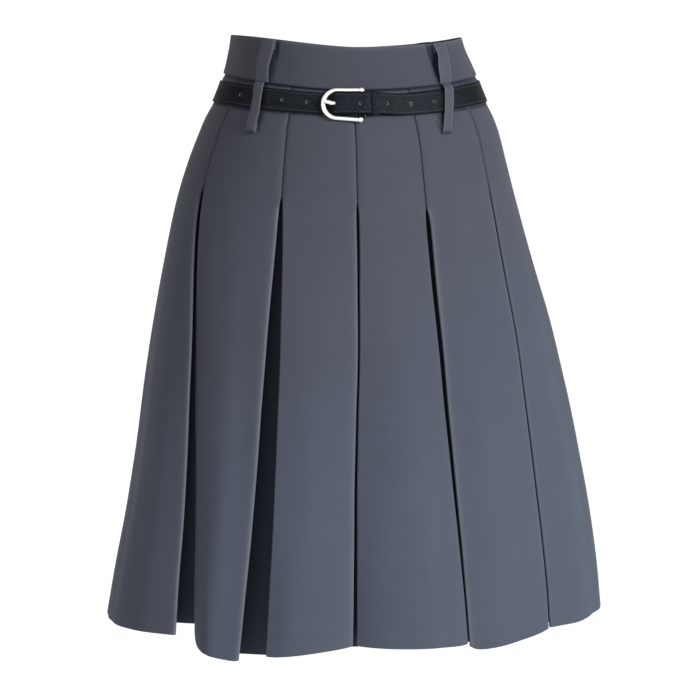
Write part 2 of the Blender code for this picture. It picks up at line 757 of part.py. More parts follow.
def prong_path(last_turn):
    """From the tip on the frame's curved end, along the strap and round the bar."""
    bar, reach, _, rise = buckle_axes()
    places = [
        (FRAME_LENGTH + 0.0012, PRONG_ON_FRAME - 0.0002),
        (FRAME_LENGTH - 0.001, PRONG_ON_FRAME),
        (FRAME_LENGTH * 0.8, PRONG_ON_FRAME - 0.0002),
        (FRAME_LENGTH * 0.5, mix(PRONG_EYE, PRONG_ON_FRAME, 0.4)),
        (FRAME_LENGTH * 0.15, PRONG_EYE),
    ]
    steps = 8
    turns = [PRONG_EYE_TURN * step / steps for step in range(steps + 1)]
    if last_turn > PRONG_EYE_TURN:
        turns.append(last_turn)
    for turn in turns:
        places.append((
            -PRONG_EYE * math.sin(math.radians(turn)),
            PRONG_EYE * math.cos(math.radians(turn)),
        ))
    return [bar + reach * along + rise * height for along, height in places]


def add_prong(name, radius, last_turn, look, parent):
    path = prong_path(last_turn)
    down = buckle_axes()[2]
    radii = [radius * 0.7] + [radius] * (len(path) - 1)
    return add_tube(name, path, radii, down, PRONG_SIDES, look, parent)


def add_keeper(look, parent):
    """A closed loop of thin leather round the strap and its tail."""
    high = BELT_TOP - KEEPER_EDGE_GAP
    low = BELT_BOTTOM + KEEPER_EDGE_GAP
    inner = KEEPER_INNER_OUT
    outer = KEEPER_OUTER_OUT
    corner = KEEPER_ROUNDING
    loop = (
        (high + corner, inner), (high, inner + corner), (high, outer - corner), (high + corner, outer),
        (low - corner, outer), (low, outer - corner), (low, inner + corner), (low - corner, inner),
    )
    near = beside_bar(KEEPER_ALONG - KEEPER_WIDTH / 2)
    far = beside_bar(KEEPER_ALONG + KEEPER_WIDTH / 2)
    edges = [(surface_point(near, drop, out), surface_point(far, drop, out)) for drop, out in loop]
    add_ribbon("belt_keeper", edges, KEEPER_CLOTH, look, parent, closed=True)


def add_belt(leather, metal, parent):
    edges = [
        (surface_point(angle, BELT_TOP, out), surface_point(angle, BELT_BOTTOM, out))
        for angle, out in strap_route()
    ]
    strap = add_ribbon("belt_strap", edges, STRAP, leather, parent)
    combine(strap, add_hole_cutters(leather, parent), "DIFFERENCE")
    slot = add_prong("prong_slot", PRONG_SLOT_RADIUS, PRONG_SLOT_TURN, metal, parent)
    combine(strap, slot, "DIFFERENCE")
    add_buckle(metal, parent)
    add_prong("buckle_prong", PRONG_RADIUS, PRONG_EYE_TURN, metal, parent)
    add_keeper(leather, parent)


def add_zip_tape(look, parent):
    """The tape follows the inner faces of the waistband and of the skirt."""
    behind_band = -(BAND_CLOTH - CLOTH / 2 + GAP + TAPE / 2)
    behind_skirt = -(CLOTH / 2 + GAP + TAPE / 2)
    stations = [(TAPE_TOP, behind_band)]
    stations += [(drop, behind_band) for drop in BAND_ROWS[1:]]
    stations += [(BAND_HEIGHT + 0.001, behind_band), (BAND_HEIGHT + 0.006, behind_skirt)]
    stations += [(drop, behind_skirt) for drop in SKIRT_ROWS[1:] if drop < TAPE_BOTTOM]
    stations += [(TAPE_BOTTOM, behind_skirt)]
    rows = []
    for drop, out in stations:
        angles = [angle_after(BACK_SEAM, drop, TAPE_WIDTH * share) for share in (-0.5, 0.0, 0.5)]
        rows.append([
            [surface_point(angle, drop, out + side * TAPE / 2) for angle in angles] for side in (1, -1)
        ])
    add_slab("zip_tape", [row[0] for row in rows], [row[1] for row in rows], look, parent)


def pull_outline():
    """The pull seen from the side, as (out, up, half width) round its eye and down its tab."""
    half = PULL_THICKNESS / 2
    eye = [
        (PULL_EYE_RADIUS * math.cos(math.radians(turn)), PULL_EYE_RADIUS * math.sin(math.radians(turn)))
        for turn in range(-45, 226, 30)
    ]
    down_one_side = [(-half, -PULL_NECK), (-half, PULL_END_CORNER - PULL_LENGTH)]
    end = [(-half * 0.4, -PULL_LENGTH), (half * 0.4, -PULL_LENGTH)]
    up_the_other = [(half, PULL_END_CORNER - PULL_LENGTH), (half, -PULL_NECK)]
    outline = []
    for out, up in eye + down_one_side + end + up_the_other:
        share = smooth((-up - PULL_NECK) / (PULL_LENGTH - 2 * PULL_NECK))
        outline.append((out, up, mix(PULL_HALF_WIDTH_TOP, PULL_HALF_WIDTH_END, share)))
    return outline


def add_zip_hardware(look, parent):
    """The slider on the seam, and the pull that turns on the pin between its ears."""
    seat = surface_point(BACK_SEAM, SLIDER_DROP, CLOTH / 2 + GAP)
    outward = surface_point(BACK_SEAM, SLIDER_DROP, 0.01) - surface_point(BACK_SEAM, SLIDER_DROP, 0.0)
    tilt = math.atan2(outward.z, outward.y)
    outward.normalize()
    thick = SLIDER_SIZE[1]
    slider = add_box("zip_slider", (0, thick / 2, 0), SLIDER_SIZE, look, parent, seat, tilt)
    for side in (-1, 1):
        centre = (side * EAR_SPREAD / 2, thick - EAR_SINK + EAR_SIZE[1] / 2, 0)
        ear = add_box(f"ear_{side + 1}", centre, EAR_SIZE, look, parent, seat, tilt)
        combine(slider, ear, "UNION")
    pin_centre = (0, thick - EAR_SINK + PIN_OUT, 0)
    pin = add_rod("pin", pin_centre, PIN_RADIUS, EAR_SPREAD, 10, look, parent, seat, tilt)
    combine(slider, pin, "UNION")

    pivot = seat + outward * pin_centre[1]
    outline = pull_outline()
    count = len(outline)
    points = [Vector((side * half, out, up)) for side in (-1, 1) for out, up, half in outline]
    faces = [(i, (i + 1) % count, count + (i + 1) % count, count + i) for i in range(count)]
    faces += [tuple(range(count)), tuple(range(count, 2 * count))]
    pull = add_solid("zip_pull", points, faces, look, parent, pivot, tilt)
    hole = add_rod("pull_hole", (0, 0, 0), PULL_HOLE_RADIUS, 0.01, 12, look, parent, pivot, tilt)
    combine(pull, hole, "DIFFERENCE")


def main():
    for obj in list(bpy.data.objects):
        bpy.data.objects.remove(obj, do_unlink=True)

    waist = bpy.data.objects.new("waist", None)
    bpy.context.scene.collection.objects.link(waist)

    skirt_cloth = material("suiting cloth", CLOTH_COLOUR, 0.85, 0.0)
    band_cloth = material("waistband cloth", CLOTH_COLOUR, 0.85, 0.0)
    carrier_cloth = material("carrier cloth", CLOTH_COLOUR, 0.85, 0.0)
    leather = material("black leather", LEATHER_COLOUR, 0.45, 0.0)
    metal = material("polished metal", METAL_COLOUR, 0.25, 1.0)
    tape = material("zip tape", TAPE_COLOUR, 0.9, 0.0)

    add_cloth(SKIRT_PIECES, SKIRT_ROWS, piece_line, CLOTH, skirt_cloth, waist)
    add_cloth(BAND_PIECES, BAND_ROWS, band_line, BAND_CLOTH, band_cloth, waist)
    add_carriers(carrier_cloth, waist)
    add_belt(leather, metal, waist)
    add_zip_tape(tape, waist)
    add_zip_hardware(metal, waist)


main()
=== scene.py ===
import math
from collections import namedtuple

import bmesh
import bpy
import numpy as np
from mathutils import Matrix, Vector


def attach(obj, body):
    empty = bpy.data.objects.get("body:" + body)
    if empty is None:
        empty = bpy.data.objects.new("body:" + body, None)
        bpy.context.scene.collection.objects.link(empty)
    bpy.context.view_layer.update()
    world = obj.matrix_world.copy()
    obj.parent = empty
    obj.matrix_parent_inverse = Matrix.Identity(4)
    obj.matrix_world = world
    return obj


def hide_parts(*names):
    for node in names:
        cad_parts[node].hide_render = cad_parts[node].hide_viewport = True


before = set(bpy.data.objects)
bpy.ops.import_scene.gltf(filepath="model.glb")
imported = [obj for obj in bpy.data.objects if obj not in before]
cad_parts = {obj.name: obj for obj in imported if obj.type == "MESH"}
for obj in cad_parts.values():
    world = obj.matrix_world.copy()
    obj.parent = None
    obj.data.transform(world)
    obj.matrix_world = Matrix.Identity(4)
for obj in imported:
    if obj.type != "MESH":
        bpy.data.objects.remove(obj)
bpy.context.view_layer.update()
print("frame loaded:", len(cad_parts), "nodes")


# The hollow form is the one that the solids follow. Angles are in degrees round the figure, 0 at the
# centre front and 90 at +X. A drop is a distance below the waistband's upper edge at the sides, and out
# is a distance out from the cloth's middle.

form = {
    "topHeight": 0.02075,
    "frontDip": 0.004,  # the waist hangs lower at the centre front and back
    "backDip": 0.015,
    "frontDipPower": 2.0,
    "backDipPower": 1.35,
    "dipFadesOut": 0.50,
    "rightRise": 0.0036,  # and stands a little higher on the wearer's right
    "rightRiseFadesOut": 0.13,
    "rightSwell": 0.0027,  # the upper edge swells between the centre front and the wearer's right
    "rightSwellFadesOut": 0.030,
    "seamLift": 0.0043,  # the waist seam runs higher at the sides
    "seamDrop": 0.0015,  # and lower at the centre
    "waistSeam": 0.0415,
    # drop, half width, front depth, back depth, lean towards +X
    "sections": (
        (0.0000, 0.1178, 0.0930, 0.0860, 0.0002),
        (0.0160, 0.1214, 0.0970, 0.0890, 0.0014),
        (0.0415, 0.1298, 0.1040, 0.0950, 0.0040),
        (0.0675, 0.1402, 0.1110, 0.1040, 0.0042),
        (0.0820, 0.1480, 0.1150, 0.1110, 0.0036),
        (0.0985, 0.1547, 0.1195, 0.1180, 0.0030),
        (0.1280, 0.1642, 0.1245, 0.1270, 0.0010),
        (0.1690, 0.1755, 0.1285, 0.1350, 0.0000),
        (0.2320, 0.1903, 0.1340, 0.1410, 0.0019),
        (0.2960, 0.2051, 0.1410, 0.1470, 0.0055),
        (0.3590, 0.2173, 0.1480, 0.1530, 0.0083),
        (0.4230, 0.2288, 0.1550, 0.1590, 0.0115),
        (0.4870, 0.2400, 0.1620, 0.1650, 0.0124),
        (0.5520, 0.2508, 0.1680, 0.1710, 0.0106),
        (0.6060, 0.2578, 0.1720, 0.1750, 0.0084),
    ),
}
sectionRows = np.array(form["sections"])


def mix(first, second, share):
    return first + (second - first) * share


def smooth(value):
    value = np.clip(value, 0.0, 1.0)
    return value * value * (3.0 - 2.0 * value)


def unit(vectors):
    return vectors / np.linalg.norm(vectors, axis=-1, keepdims=True)


def walkedAlong(points):
    # how far along a line each of its points is
    return np.concatenate([[0.0], np.cumsum(np.linalg.norm(np.diff(points, axis=0), axis=1))])


def betweenRows(rows, place):
    # a smooth curve through the rows of a table, at any place along its first column
    place = float(np.clip(place, rows[0, 0], rows[-1, 0]))
    low = min(int(np.searchsorted(rows[:, 0], place, side="right")) - 1, len(rows) - 2)
    before, here, after = rows[max(low - 1, 0)], rows[low], rows[low + 1]
    beyond = rows[min(low + 2, len(rows) - 1)]
    span = after[0] - here[0]
    share = (place - here[0]) / span
    slopeIn = (after - before) / (after[0] - before[0]) * span
    slopeOut = (beyond - here) / (beyond[0] - here[0]) * span
    found = here * (1 + 2 * share) * (1 - share) ** 2 + slopeIn * share * (1 - share) ** 2
    found += after * share**2 * (3 - 2 * share) + slopeOut * share**2 * (share - 1)
    return found[1:]


def sectionAt(drop):
    return betweenRows(sectionRows, drop)


def levelPoints(angle, drop, inward=0.0):
    # points of one level section, moved straight in towards the figure
    halfWidth, frontDepth, backDepth, lean = sectionAt(drop)
    turn = np.radians(angle)
    facing = np.cos(turn)
    depth = np.where(facing > 0, frontDepth, backDepth)
    power = np.where(facing > 0, form["frontDipPower"], form["backDipPower"])
    dip = np.where(facing > 0, form["frontDip"], form["backDip"]) * np.abs(facing) ** power
    dip = dip * (1 - smooth(drop / form["dipFadesOut"]))
    dip = dip - form["rightRise"] * smooth(-np.sin(turn)) * (1 - smooth(drop / form["rightRiseFadesOut"]))
    swell = form["rightSwell"] * np.where(facing > 0, np.maximum(-np.sin(2 * turn), 0.0), 0.0)
    dip = dip - swell * (1 - smooth(drop / form["rightSwellFadesOut"]))
    bow = smooth(drop / 0.030) * (1 - smooth((drop - form["waistSeam"] - 0.001) / 0.0040))
    dip = dip - (form["seamLift"] * np.sin(turn) ** 2 - form["seamDrop"]) * bow
    outX = depth * np.sin(turn)
    outY = -halfWidth * facing
    size = np.hypot(outX, outY)
    x = lean + halfWidth * np.sin(turn) - outX / size * inward
    y = -depth * facing - outY / size * inward
    return np.stack([x, y, form["topHeight"] - drop - dip], axis=-1)


def surfacePoints(angle, drop, out):
    # points moved out along the surface's own normal
    along = levelPoints(angle + 0.5, drop) - levelPoints(angle - 0.5, drop)
    down = levelPoints(angle, drop + 0.002) - levelPoints(angle, max(drop - 0.002, 0.0))
    return levelPoints(angle, drop) + unit(np.cross(down, along)) * np.asarray(out)[..., None]


def downAt(angle, drop):
    # the direction straight down the surface at one place
    return unit(levelPoints(angle, drop + 0.002) - levelPoints(angle, drop - 0.002))


def angleAfter(angle, drop, distance):
    # the angle reached by walking a distance along a level section
    halfWidth, frontDepth, backDepth, _ = sectionAt(drop)
    angle = np.asarray(angle, float) + 0.0 * np.asarray(distance, float)
    depth = np.where(np.cos(np.radians(angle)) > 0, frontDepth, backDepth)

    def degreesOf(length, at):
        turn = np.radians(at)
        return np.degrees(length / np.hypot(halfWidth * np.cos(turn), depth * np.sin(turn)))

    steps = 4
    for _ in range(steps):
        halfway = angle + degreesOf(distance / steps / 2, angle)
        angle = angle + degreesOf(distance / steps, halfway)
    return angle


def curveThrough(rows, steps):
    # a smooth curve through a table's rows, with steps to each stretch
    rows = np.asarray(rows, float)
    padded = np.vstack([2 * rows[0] - rows[1], rows, 2 * rows[-1] - rows[-2]])
    found = []
    for i in range(1, len(padded) - 2):
        p0, p1, p2, p3 = padded[i - 1 : i + 3]
        for t in np.arange(steps) / steps:
            found.append(
                0.5 * (2 * p1 + (p2 - p0) * t + (2 * p0 - 5 * p1 + 4 * p2 - p3) * t**2
                       + (3 * p1 - p0 - 3 * p2 + p3) * t**3)
            )
    found.append(rows[-1])
    return np.array(found)


creaseAngle = math.radians(40)  # edges sharper than this stay sharp


def newPiece(name, points, faces, material, uv=None, marks=None):
    mesh = bpy.data.meshes.new(name)
    mesh.from_pydata(np.asarray(points, float).tolist(), [], faces)
    if uv is not None:
        layer = mesh.uv_layers.new(name="ClothUV")
        order = np.empty(len(mesh.loops), np.int32)
        mesh.loops.foreach_get("vertex_index", order)
        layer.data.foreach_set("uv", np.asarray(uv, np.float32)[order].ravel())
    for label, values in (marks or {}).items():
        mark = mesh.attributes.new(label, "FLOAT", "POINT")
        mark.data.foreach_set("value", np.asarray(values, np.float32))
    shape = bmesh.new()
    shape.from_mesh(mesh)
    bmesh.ops.recalc_face_normals(shape, faces=shape.faces)
    shape.to_mesh(mesh)
    shape.free()
    mesh.shade_smooth()
    mesh.set_sharp_from_angle(angle=creaseAngle)
    mesh.materials.append(material)
    piece = bpy.data.objects.new(name, mesh)
    bpy.context.scene.collection.objects.link(piece)
    return piece


def shell(name, middle, outer, inner, material, uv, marks=None):
    # a wall round a grid of middle points: rows run down and columns run along, so the face is outside
    rows, columns = middle.shape[:2]
    down = np.gradient(middle, axis=0)
    along = np.gradient(middle, axis=1)
    normal = np.cross(down, along)
    normal /= np.maximum(np.linalg.norm(normal, axis=-1, keepdims=True), 1e-12)
    outside = middle + normal * np.broadcast_to(outer, (rows, columns))[..., None]
    inside = middle - normal * np.broadcast_to(inner, (rows, columns))[..., None]
    points = np.concatenate([outside.reshape(-1, 3), inside.reshape(-1, 3)])
    lift = rows * columns
    index = np.arange(lift).reshape(rows, columns)
    quads = np.stack([index[:-1, :-1], index[1:, :-1], index[1:, 1:], index[:-1, 1:]], axis=-1).reshape(-1, 4)
    faces = quads.tolist() + (quads[:, ::-1] + lift).tolist()
    for edge in (index[0], index[-1], index[:, 0], index[:, -1]):
        faces += [(a, b, b + lift, a + lift) for a, b in zip(edge[:-1].tolist(), edge[1:].tolist())]
    uv = np.asarray(uv).reshape(-1, 2)
    marks = {label: np.tile(np.asarray(values).ravel(), 2) for label, values in (marks or {}).items()}
    return newPiece(name, points, faces, material, np.concatenate([uv, uv]), marks)


def ringFaces(count, size, closed=False):
    # four-sided faces between rings of points that follow one another
    faces = []
    for i in range(count if closed else count - 1):
        here, after = i * size, (i + 1) % count * size
        faces += [(here + j, here + (j + 1) % size, after + (j + 1) % size, after + j) for j in range(size)]
    return faces


def cappedRings(count, size):
    return ringFaces(count, size) + [tuple(range(size)), tuple(range((count - 1) * size, count * size))]


def tubeMesh(path, radii, side, sides, flat):
    # points and faces of a round rod along a path that lies in the plane square to side
    across = unit(np.cross(side, np.gradient(path, axis=0)))
    turns = np.arange(sides) * 2 * math.pi / sides
    ring = side[None, None] * np.cos(turns)[None, :, None] * flat
    ring = ring + across[:, None] * np.sin(turns)[None, :, None]
    points = path[:, None] + ring * radii[:, None, None]
    return points.reshape(-1, 3), cappedRings(len(path), sides)


def handOver(obj, node=None, body="root"):
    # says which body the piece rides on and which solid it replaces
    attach(obj, body)
    if node:
        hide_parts(node)


def joinedParts(parts):
    # several lists of points and faces as one
    points = []
    faces = []
    for some, their in parts:
        base = sum(len(p) for p in points)
        points.append(np.asarray(some))
        faces += [tuple(i + base for i in face) for face in their]
    return np.concatenate(points), faces


def link(tree, source, target):
    tree.links.new(source, target)


def addNode(tree, kind, **settings):
    node = tree.nodes.new(kind)
    for label, value in settings.items():
        if label in node.bl_rna.properties:
            setattr(node, label, value)
        else:
            node.inputs[label.replace("_", " ")].default_value = value
    return node


def linkAll(tree, *pairs):
    for source, target in pairs:
        link(tree, source, target)


def addMath(tree, operation, first, second=None, third=None):
    node = tree.nodes.new("ShaderNodeMath")
    node.operation = operation
    for slot, value in enumerate((first, second, third)):
        if isinstance(value, (int, float)):
            node.inputs[slot].default_value = value
        elif value is not None:
            tree.links.new(value, node.inputs[slot])
    return node.outputs[0]


def newGroup(name, kind, inputs, outputs):
    # a node group whose inputs are (label, kind of socket, value) and its outputs (label, kind of socket)
    tree = bpy.data.node_groups.new(name, kind)
    for label, socketKind, value in inputs:
        socket = tree.interface.new_socket(label, in_out="INPUT", socket_type="NodeSocket" + socketKind)
        if value is not None:
            socket.default_value = value
    for label, socketKind in outputs:
        tree.interface.new_socket(label, in_out="OUTPUT", socket_type="NodeSocket" + socketKind)
    return tree, tree.nodes.new("NodeGroupInput"), tree.nodes.new("NodeGroupOutput")


def shaderGroup(name, inputs, outputs):
    return newGroup(name, "ShaderNodeTree", [("Vector", "Vector", None)] + inputs, outputs)


def noise(tree, vector, **settings):
    node = addNode(tree, "ShaderNodeTexNoise", **settings)
    link(tree, vector, node.inputs["Vector"])
    return node.outputs["Fac"]


def storedMark(tree, label):
    return addNode(tree, "ShaderNodeAttribute", attribute_name=label).outputs["Fac"]


def flatPlace(tree):
    return addNode(tree, "ShaderNodeUVMap", uv_map="ClothUV").outputs[0]


def solidPlace(tree):
    return addNode(tree, "ShaderNodeTexCoord").outputs["Object"]


def makeTwill():
    # fine diagonal ribs of a twill, broken up along each yarn
    tree, given, result = shaderGroup(
        "twill",
        [("Ribs Per Metre", "Float", 1100.0)], [("Height", "Float"), ("Shade", "Float")],
    )
    axes = addNode(tree, "ShaderNodeSeparateXYZ")
    link(tree, given.outputs["Vector"], axes.inputs[0])
    ribs = given.outputs["Ribs Per Metre"]
    diagonal = addMath(tree, "ADD", axes.outputs[0], axes.outputs[1])
    turn = addMath(tree, "MULTIPLY", addMath(tree, "MULTIPLY", diagonal, ribs), 2 * math.pi)
    yarn = addMath(tree, "MULTIPLY", addMath(tree, "MULTIPLY", axes.outputs[0], ribs), 4 * math.pi)
    slub = noise(tree, given.outputs["Vector"], Scale=2600.0, Detail=2.0)
    rib = addMath(tree, "MULTIPLY_ADD", addMath(tree, "SINE", turn), 0.34, 0.5)
    rib = addMath(tree, "MULTIPLY_ADD", addMath(tree, "SINE", yarn), 0.10, rib)
    height = addMath(tree, "MULTIPLY_ADD", slub, 0.30, addMath(tree, "SUBTRACT", rib, 0.15))
    link(tree, height, result.inputs["Height"])
    link(tree, height, result.inputs["Shade"])
    return tree


def makeMottle():
    # slow cloudy changes of shade, in two sizes
    tree, given, result = shaderGroup(
        "mottle",
        [("Scale", "Float", 9.0), ("Fine", "Float", 0.3)], [("Shade", "Float")],
    )
    large = addNode(tree, "ShaderNodeTexNoise", Detail=3.0, Roughness=0.55)
    small = addNode(tree, "ShaderNodeTexNoise", Detail=4.0, Roughness=0.6)
    blend = addNode(tree, "ShaderNodeMix", data_type="FLOAT")
    finer = addMath(tree, "MULTIPLY", given.outputs["Scale"], 9.0)
    for slot, texture, scale in ((2, large, given.outputs["Scale"]), (3, small, finer)):
        linkAll(
            tree, (given.outputs["Vector"], texture.inputs["Vector"]), (scale, texture.inputs["Scale"]),
            (texture.outputs["Fac"], blend.inputs[slot]),
        )
    linkAll(tree, (given.outputs["Fine"], blend.inputs[0]), (blend.outputs[0], result.inputs["Shade"]))
    return tree


def makeGrain():
    # rounded pebbles of leather with fine pores between them
    tree, given, result = shaderGroup(
        "leather grain",
        [("Pebbles Per Metre", "Float", 900.0)], [("Height", "Float"), ("Creases", "Float")],
    )
    pebbles = addNode(tree, "ShaderNodeTexVoronoi", feature="SMOOTH_F1", Smoothness=0.35)
    link(tree, given.outputs["Vector"], pebbles.inputs["Vector"])
    link(tree, given.outputs["Pebbles Per Metre"], pebbles.inputs["Scale"])
    pores = noise(tree, given.outputs["Vector"], Scale=4200.0, Detail=2.0)
    dome = addMath(tree, "SUBTRACT", 1.0, pebbles.outputs["Distance"])
    height = addMath(tree, "MULTIPLY_ADD", pores, 0.25, dome)
    link(tree, height, result.inputs["Height"])
    crease = addNode(tree, "ShaderNodeMapRange", From_Min=0.35, From_Max=0.75)
    link(tree, pebbles.outputs["Distance"], crease.inputs["Value"])
    link(tree, crease.outputs[0], result.inputs["Creases"])
    return tree


twill = makeTwill()
mottle = makeMottle()
grain = makeGrain()


def placeGroup(tree, group, vector, **values):
    node = tree.nodes.new("ShaderNodeGroup")
    node.node_tree = group
    link(tree, vector, node.inputs["Vector"])
    for label, value in values.items():
        node.inputs[label.replace("_", " ")].default_value = value
    return node


def newMaterial(name):
    material = bpy.data.materials.new(name)
    material.use_nodes = True
    tree = material.node_tree
    return material, tree, tree.nodes["Principled BSDF"]


def colourBetween(tree, low, high, share):
    node = addNode(tree, "ShaderNodeMix", data_type="RGBA")
    for slot, value in ((6, low), (7, high)):
        if isinstance(value, tuple):
            node.inputs[slot].default_value = (*value, 1.0)
        else:
            link(tree, value, node.inputs[slot])
    link(tree, share, node.inputs[0])
    return node.outputs[2]


def ranged(tree, value, fromLow, fromHigh, low, high):
    node = addNode(tree, "ShaderNodeMapRange", From_Min=fromLow, From_Max=fromHigh, To_Min=low, To_Max=high)
    link(tree, value, node.inputs["Value"])
    return node.outputs[0]


def fillShader(tree, shader, colour, roughness, height, strength, distance):
    bump = addNode(tree, "ShaderNodeBump", Strength=strength, Distance=distance)
    linkAll(
        tree, (colour, shader.inputs["Base Color"]), (roughness, shader.inputs["Roughness"]),
        (height, bump.inputs["Height"]), (bump.outputs["Normal"], shader.inputs["Normal"]),
    )


suiting = {
    # painted light: the lower colours are lighter and bluer than the upper ones, standing in for bluer light
    # lower down
    "upperDark": (0.0325, 0.0362, 0.0498),
    "upperLight": (0.0408, 0.0455, 0.0622),
    "lowerDark": (0.0385, 0.0480, 0.0690),
    "lowerLight": (0.0485, 0.0603, 0.0868),
    "turnsBluer": (0.10, 0.42),  # the drops between which the colour changes
    # painted highlight along folded edges: its colour and how strongly it is laid on
    "foldedEdge": (0.1050, 0.1160, 0.1400),
    "edgeStrength": 0.55,
    "inFolds": 0.88,
    "foldShade": (0.0018, 0.0062, 0.0142),
    "roughness": (0.78, 0.92),
    "sheen": 0.04,
    "sheenRoughness": 0.45,
    "sheenTint": (0.82, 0.88, 1.0),
    "shine": 0.25,
    "ribsPerMetre": 1050.0,
    "weaveDepth": 0.00012,
}


def makeSuiting(name, shade, hemLine):
    # shade darkens the whole cloth, and hemLine is the drop of the hem's stitch line, if it has one
    material, tree, shader = newMaterial(name)
    uv, place = flatPlace(tree), solidPlace(tree)
    weave = placeGroup(tree, twill, uv, Ribs_Per_Metre=suiting["ribsPerMetre"])
    clouds = placeGroup(tree, mottle, place, Scale=7.0, Fine=0.35)
    cloudy = ranged(tree, clouds.outputs["Shade"], 0.32, 0.68, 0.0, 1.0)
    looks = ("upperDark", "upperLight", "lowerDark", "lowerLight")
    upperDark, upperLight, lowerDark, lowerLight = (tuple(c * shade for c in suiting[look]) for look in looks)
    upper = colourBetween(tree, upperDark, upperLight, cloudy)
    lower = colourBetween(tree, lowerDark, lowerLight, cloudy)
    # painted light: the colour turns lighter and bluer lower down
    axes = addNode(tree, "ShaderNodeSeparateXYZ")
    link(tree, place, axes.inputs[0])
    drop = addMath(tree, "SUBTRACT", form["topHeight"], axes.outputs[2])
    hue = placeGroup(tree, mottle, place, Scale=3.2, Fine=0.2)
    wandering = addMath(tree, "MULTIPLY_ADD", addMath(tree, "SUBTRACT", hue.outputs["Shade"], 0.5), 0.5, drop)
    colour = colourBetween(tree, upper, lower, ranged(tree, wandering, *suiting["turnsBluer"], 0.0, 1.0))
    weaveShade = ranged(tree, weave.outputs["Shade"], 0.1, 0.9, 0.35, 0.0)
    colour = colourBetween(tree, colour, tuple(c * 0.6 for c in upperDark), weaveShade)
    # painted shade: where this mark is set (inside folds and seams, under the carriers, the belt and the
    # band's lower edge) the colour is darkened towards the fold shade
    folded = addMath(tree, "MULTIPLY", storedMark(tree, "paintedShade"), suiting["inFolds"])
    colour = colourBetween(tree, colour, suiting["foldShade"], folded)
    # painted highlight: folded edges are lightened towards the folded edge colour, varied by the mottle
    edgeHighlight = ranged(tree, clouds.outputs["Shade"], 0.3, 0.7, 0.6, 1.0)
    edgeHighlight = addMath(tree, "MULTIPLY", storedMark(tree, "foldedEdge"), edgeHighlight)
    edgeHighlight = addMath(tree, "MULTIPLY", edgeHighlight, suiting["edgeStrength"])
    colour = colourBetween(tree, colour, suiting["foldedEdge"], edgeHighlight)
    if hemLine:
        flatAxes = addNode(tree, "ShaderNodeSeparateXYZ")
        link(tree, uv, flatAxes.inputs[0])
        away = addMath(tree, "ABSOLUTE", addMath(tree, "SUBTRACT", flatAxes.outputs[1], hemLine))
        line = ranged(tree, away, 0.0, 0.0016, 0.14, 0.0)
        colour = colourBetween(tree, colour, tuple(c * 0.55 for c in upperDark), line)
    rough = ranged(tree, clouds.outputs["Shade"], 0.3, 0.7, *suiting["roughness"])
    fillShader(tree, shader, colour, rough, weave.outputs["Height"], 0.45, suiting["weaveDepth"])
    shader.inputs["Sheen Weight"].default_value = suiting["sheen"]
    shader.inputs["Sheen Roughness"].default_value = suiting["sheenRoughness"]
    shader.inputs["Sheen Tint"].default_value = (*suiting["sheenTint"], 1.0)
    shader.inputs["Specular IOR Level"].default_value = suiting["shine"]
    return material


beltLeather = {
    "dark": (0.0042, 0.0062, 0.0088),
    "light": (0.0090, 0.0125, 0.0168),
    "creases": (0.0040, 0.0048, 0.0060),
    "speckles": (0.0290, 0.0360, 0.0460),
    "cutEdge": (0.0016, 0.0020, 0.0026),
    "inShade": (0.0010, 0.0012, 0.0016),
    "roughness": (0.46, 0.60),
    "shine": 0.03,
    "pebblesPerMetre": 850.0,
    "grainDepth": 0.00022,
}


def makeLeather():
    material, tree, shader = newMaterial("black belt leather")
    uv, place = flatPlace(tree), solidPlace(tree)
    pebbles = placeGroup(tree, grain, uv, Pebbles_Per_Metre=beltLeather["pebblesPerMetre"])
    clouds = placeGroup(tree, mottle, place, Scale=26.0, Fine=0.4).outputs["Shade"]
    speckle = noise(tree, place, Scale=620.0, Detail=2.0)
    cloudy = ranged(tree, clouds, 0.3, 0.7, 0.0, 1.0)
    colour = colourBetween(tree, beltLeather["dark"], beltLeather["light"], cloudy)
    for look, share in (
        ("creases", addMath(tree, "MULTIPLY", pebbles.outputs["Creases"], 0.55)),
        ("speckles", ranged(tree, speckle, 0.50, 0.80, 0.0, 0.50)),
        ("cutEdge", addMath(tree, "MULTIPLY", storedMark(tree, "foldedEdge"), 0.8)),
        ("inShade", addMath(tree, "MULTIPLY", storedMark(tree, "paintedShade"), 0.9)),
    ):
        colour = colourBetween(tree, colour, beltLeather[look], share)
    rough = ranged(tree, clouds, 0.3, 0.7, *beltLeather["roughness"])
    fillShader(tree, shader, colour, rough, pebbles.outputs["Height"], 0.5, beltLeather["grainDepth"])
    shader.inputs["Specular IOR Level"].default_value = beltLeather["shine"]
    return material


def makeMetal(name, low, high, roughness, scratches):
    material, tree, shader = newMaterial(name)
    place = solidPlace(tree)
    clouds = placeGroup(tree, mottle, place, Scale=60.0, Fine=0.5).outputs["Shade"]
    fine = noise(tree, place, Scale=scratches, Detail=3.0)
    colour = colourBetween(tree, low, high, ranged(tree, clouds, 0.3, 0.7, 0.0, 1.0))
    fillShader(tree, shader, colour, ranged(tree, fine, 0.35, 0.65, *roughness), fine, 0.12, 0.00005)
    shader.inputs["Metallic"].default_value = 1.0
    return material


def makeThread(name, dark, light):
    material, tree, shader = newMaterial(name)
    plies = noise(tree, solidPlace(tree), Scale=1800.0, Detail=2.0)
    colour = colourBetween(tree, dark, light, ranged(tree, plies, 0.35, 0.65, 0.0, 1.0))
    fillShader(tree, shader, colour, ranged(tree, plies, 0.3, 0.7, 0.55, 0.8), plies, 0.3, 0.0001)
    return material


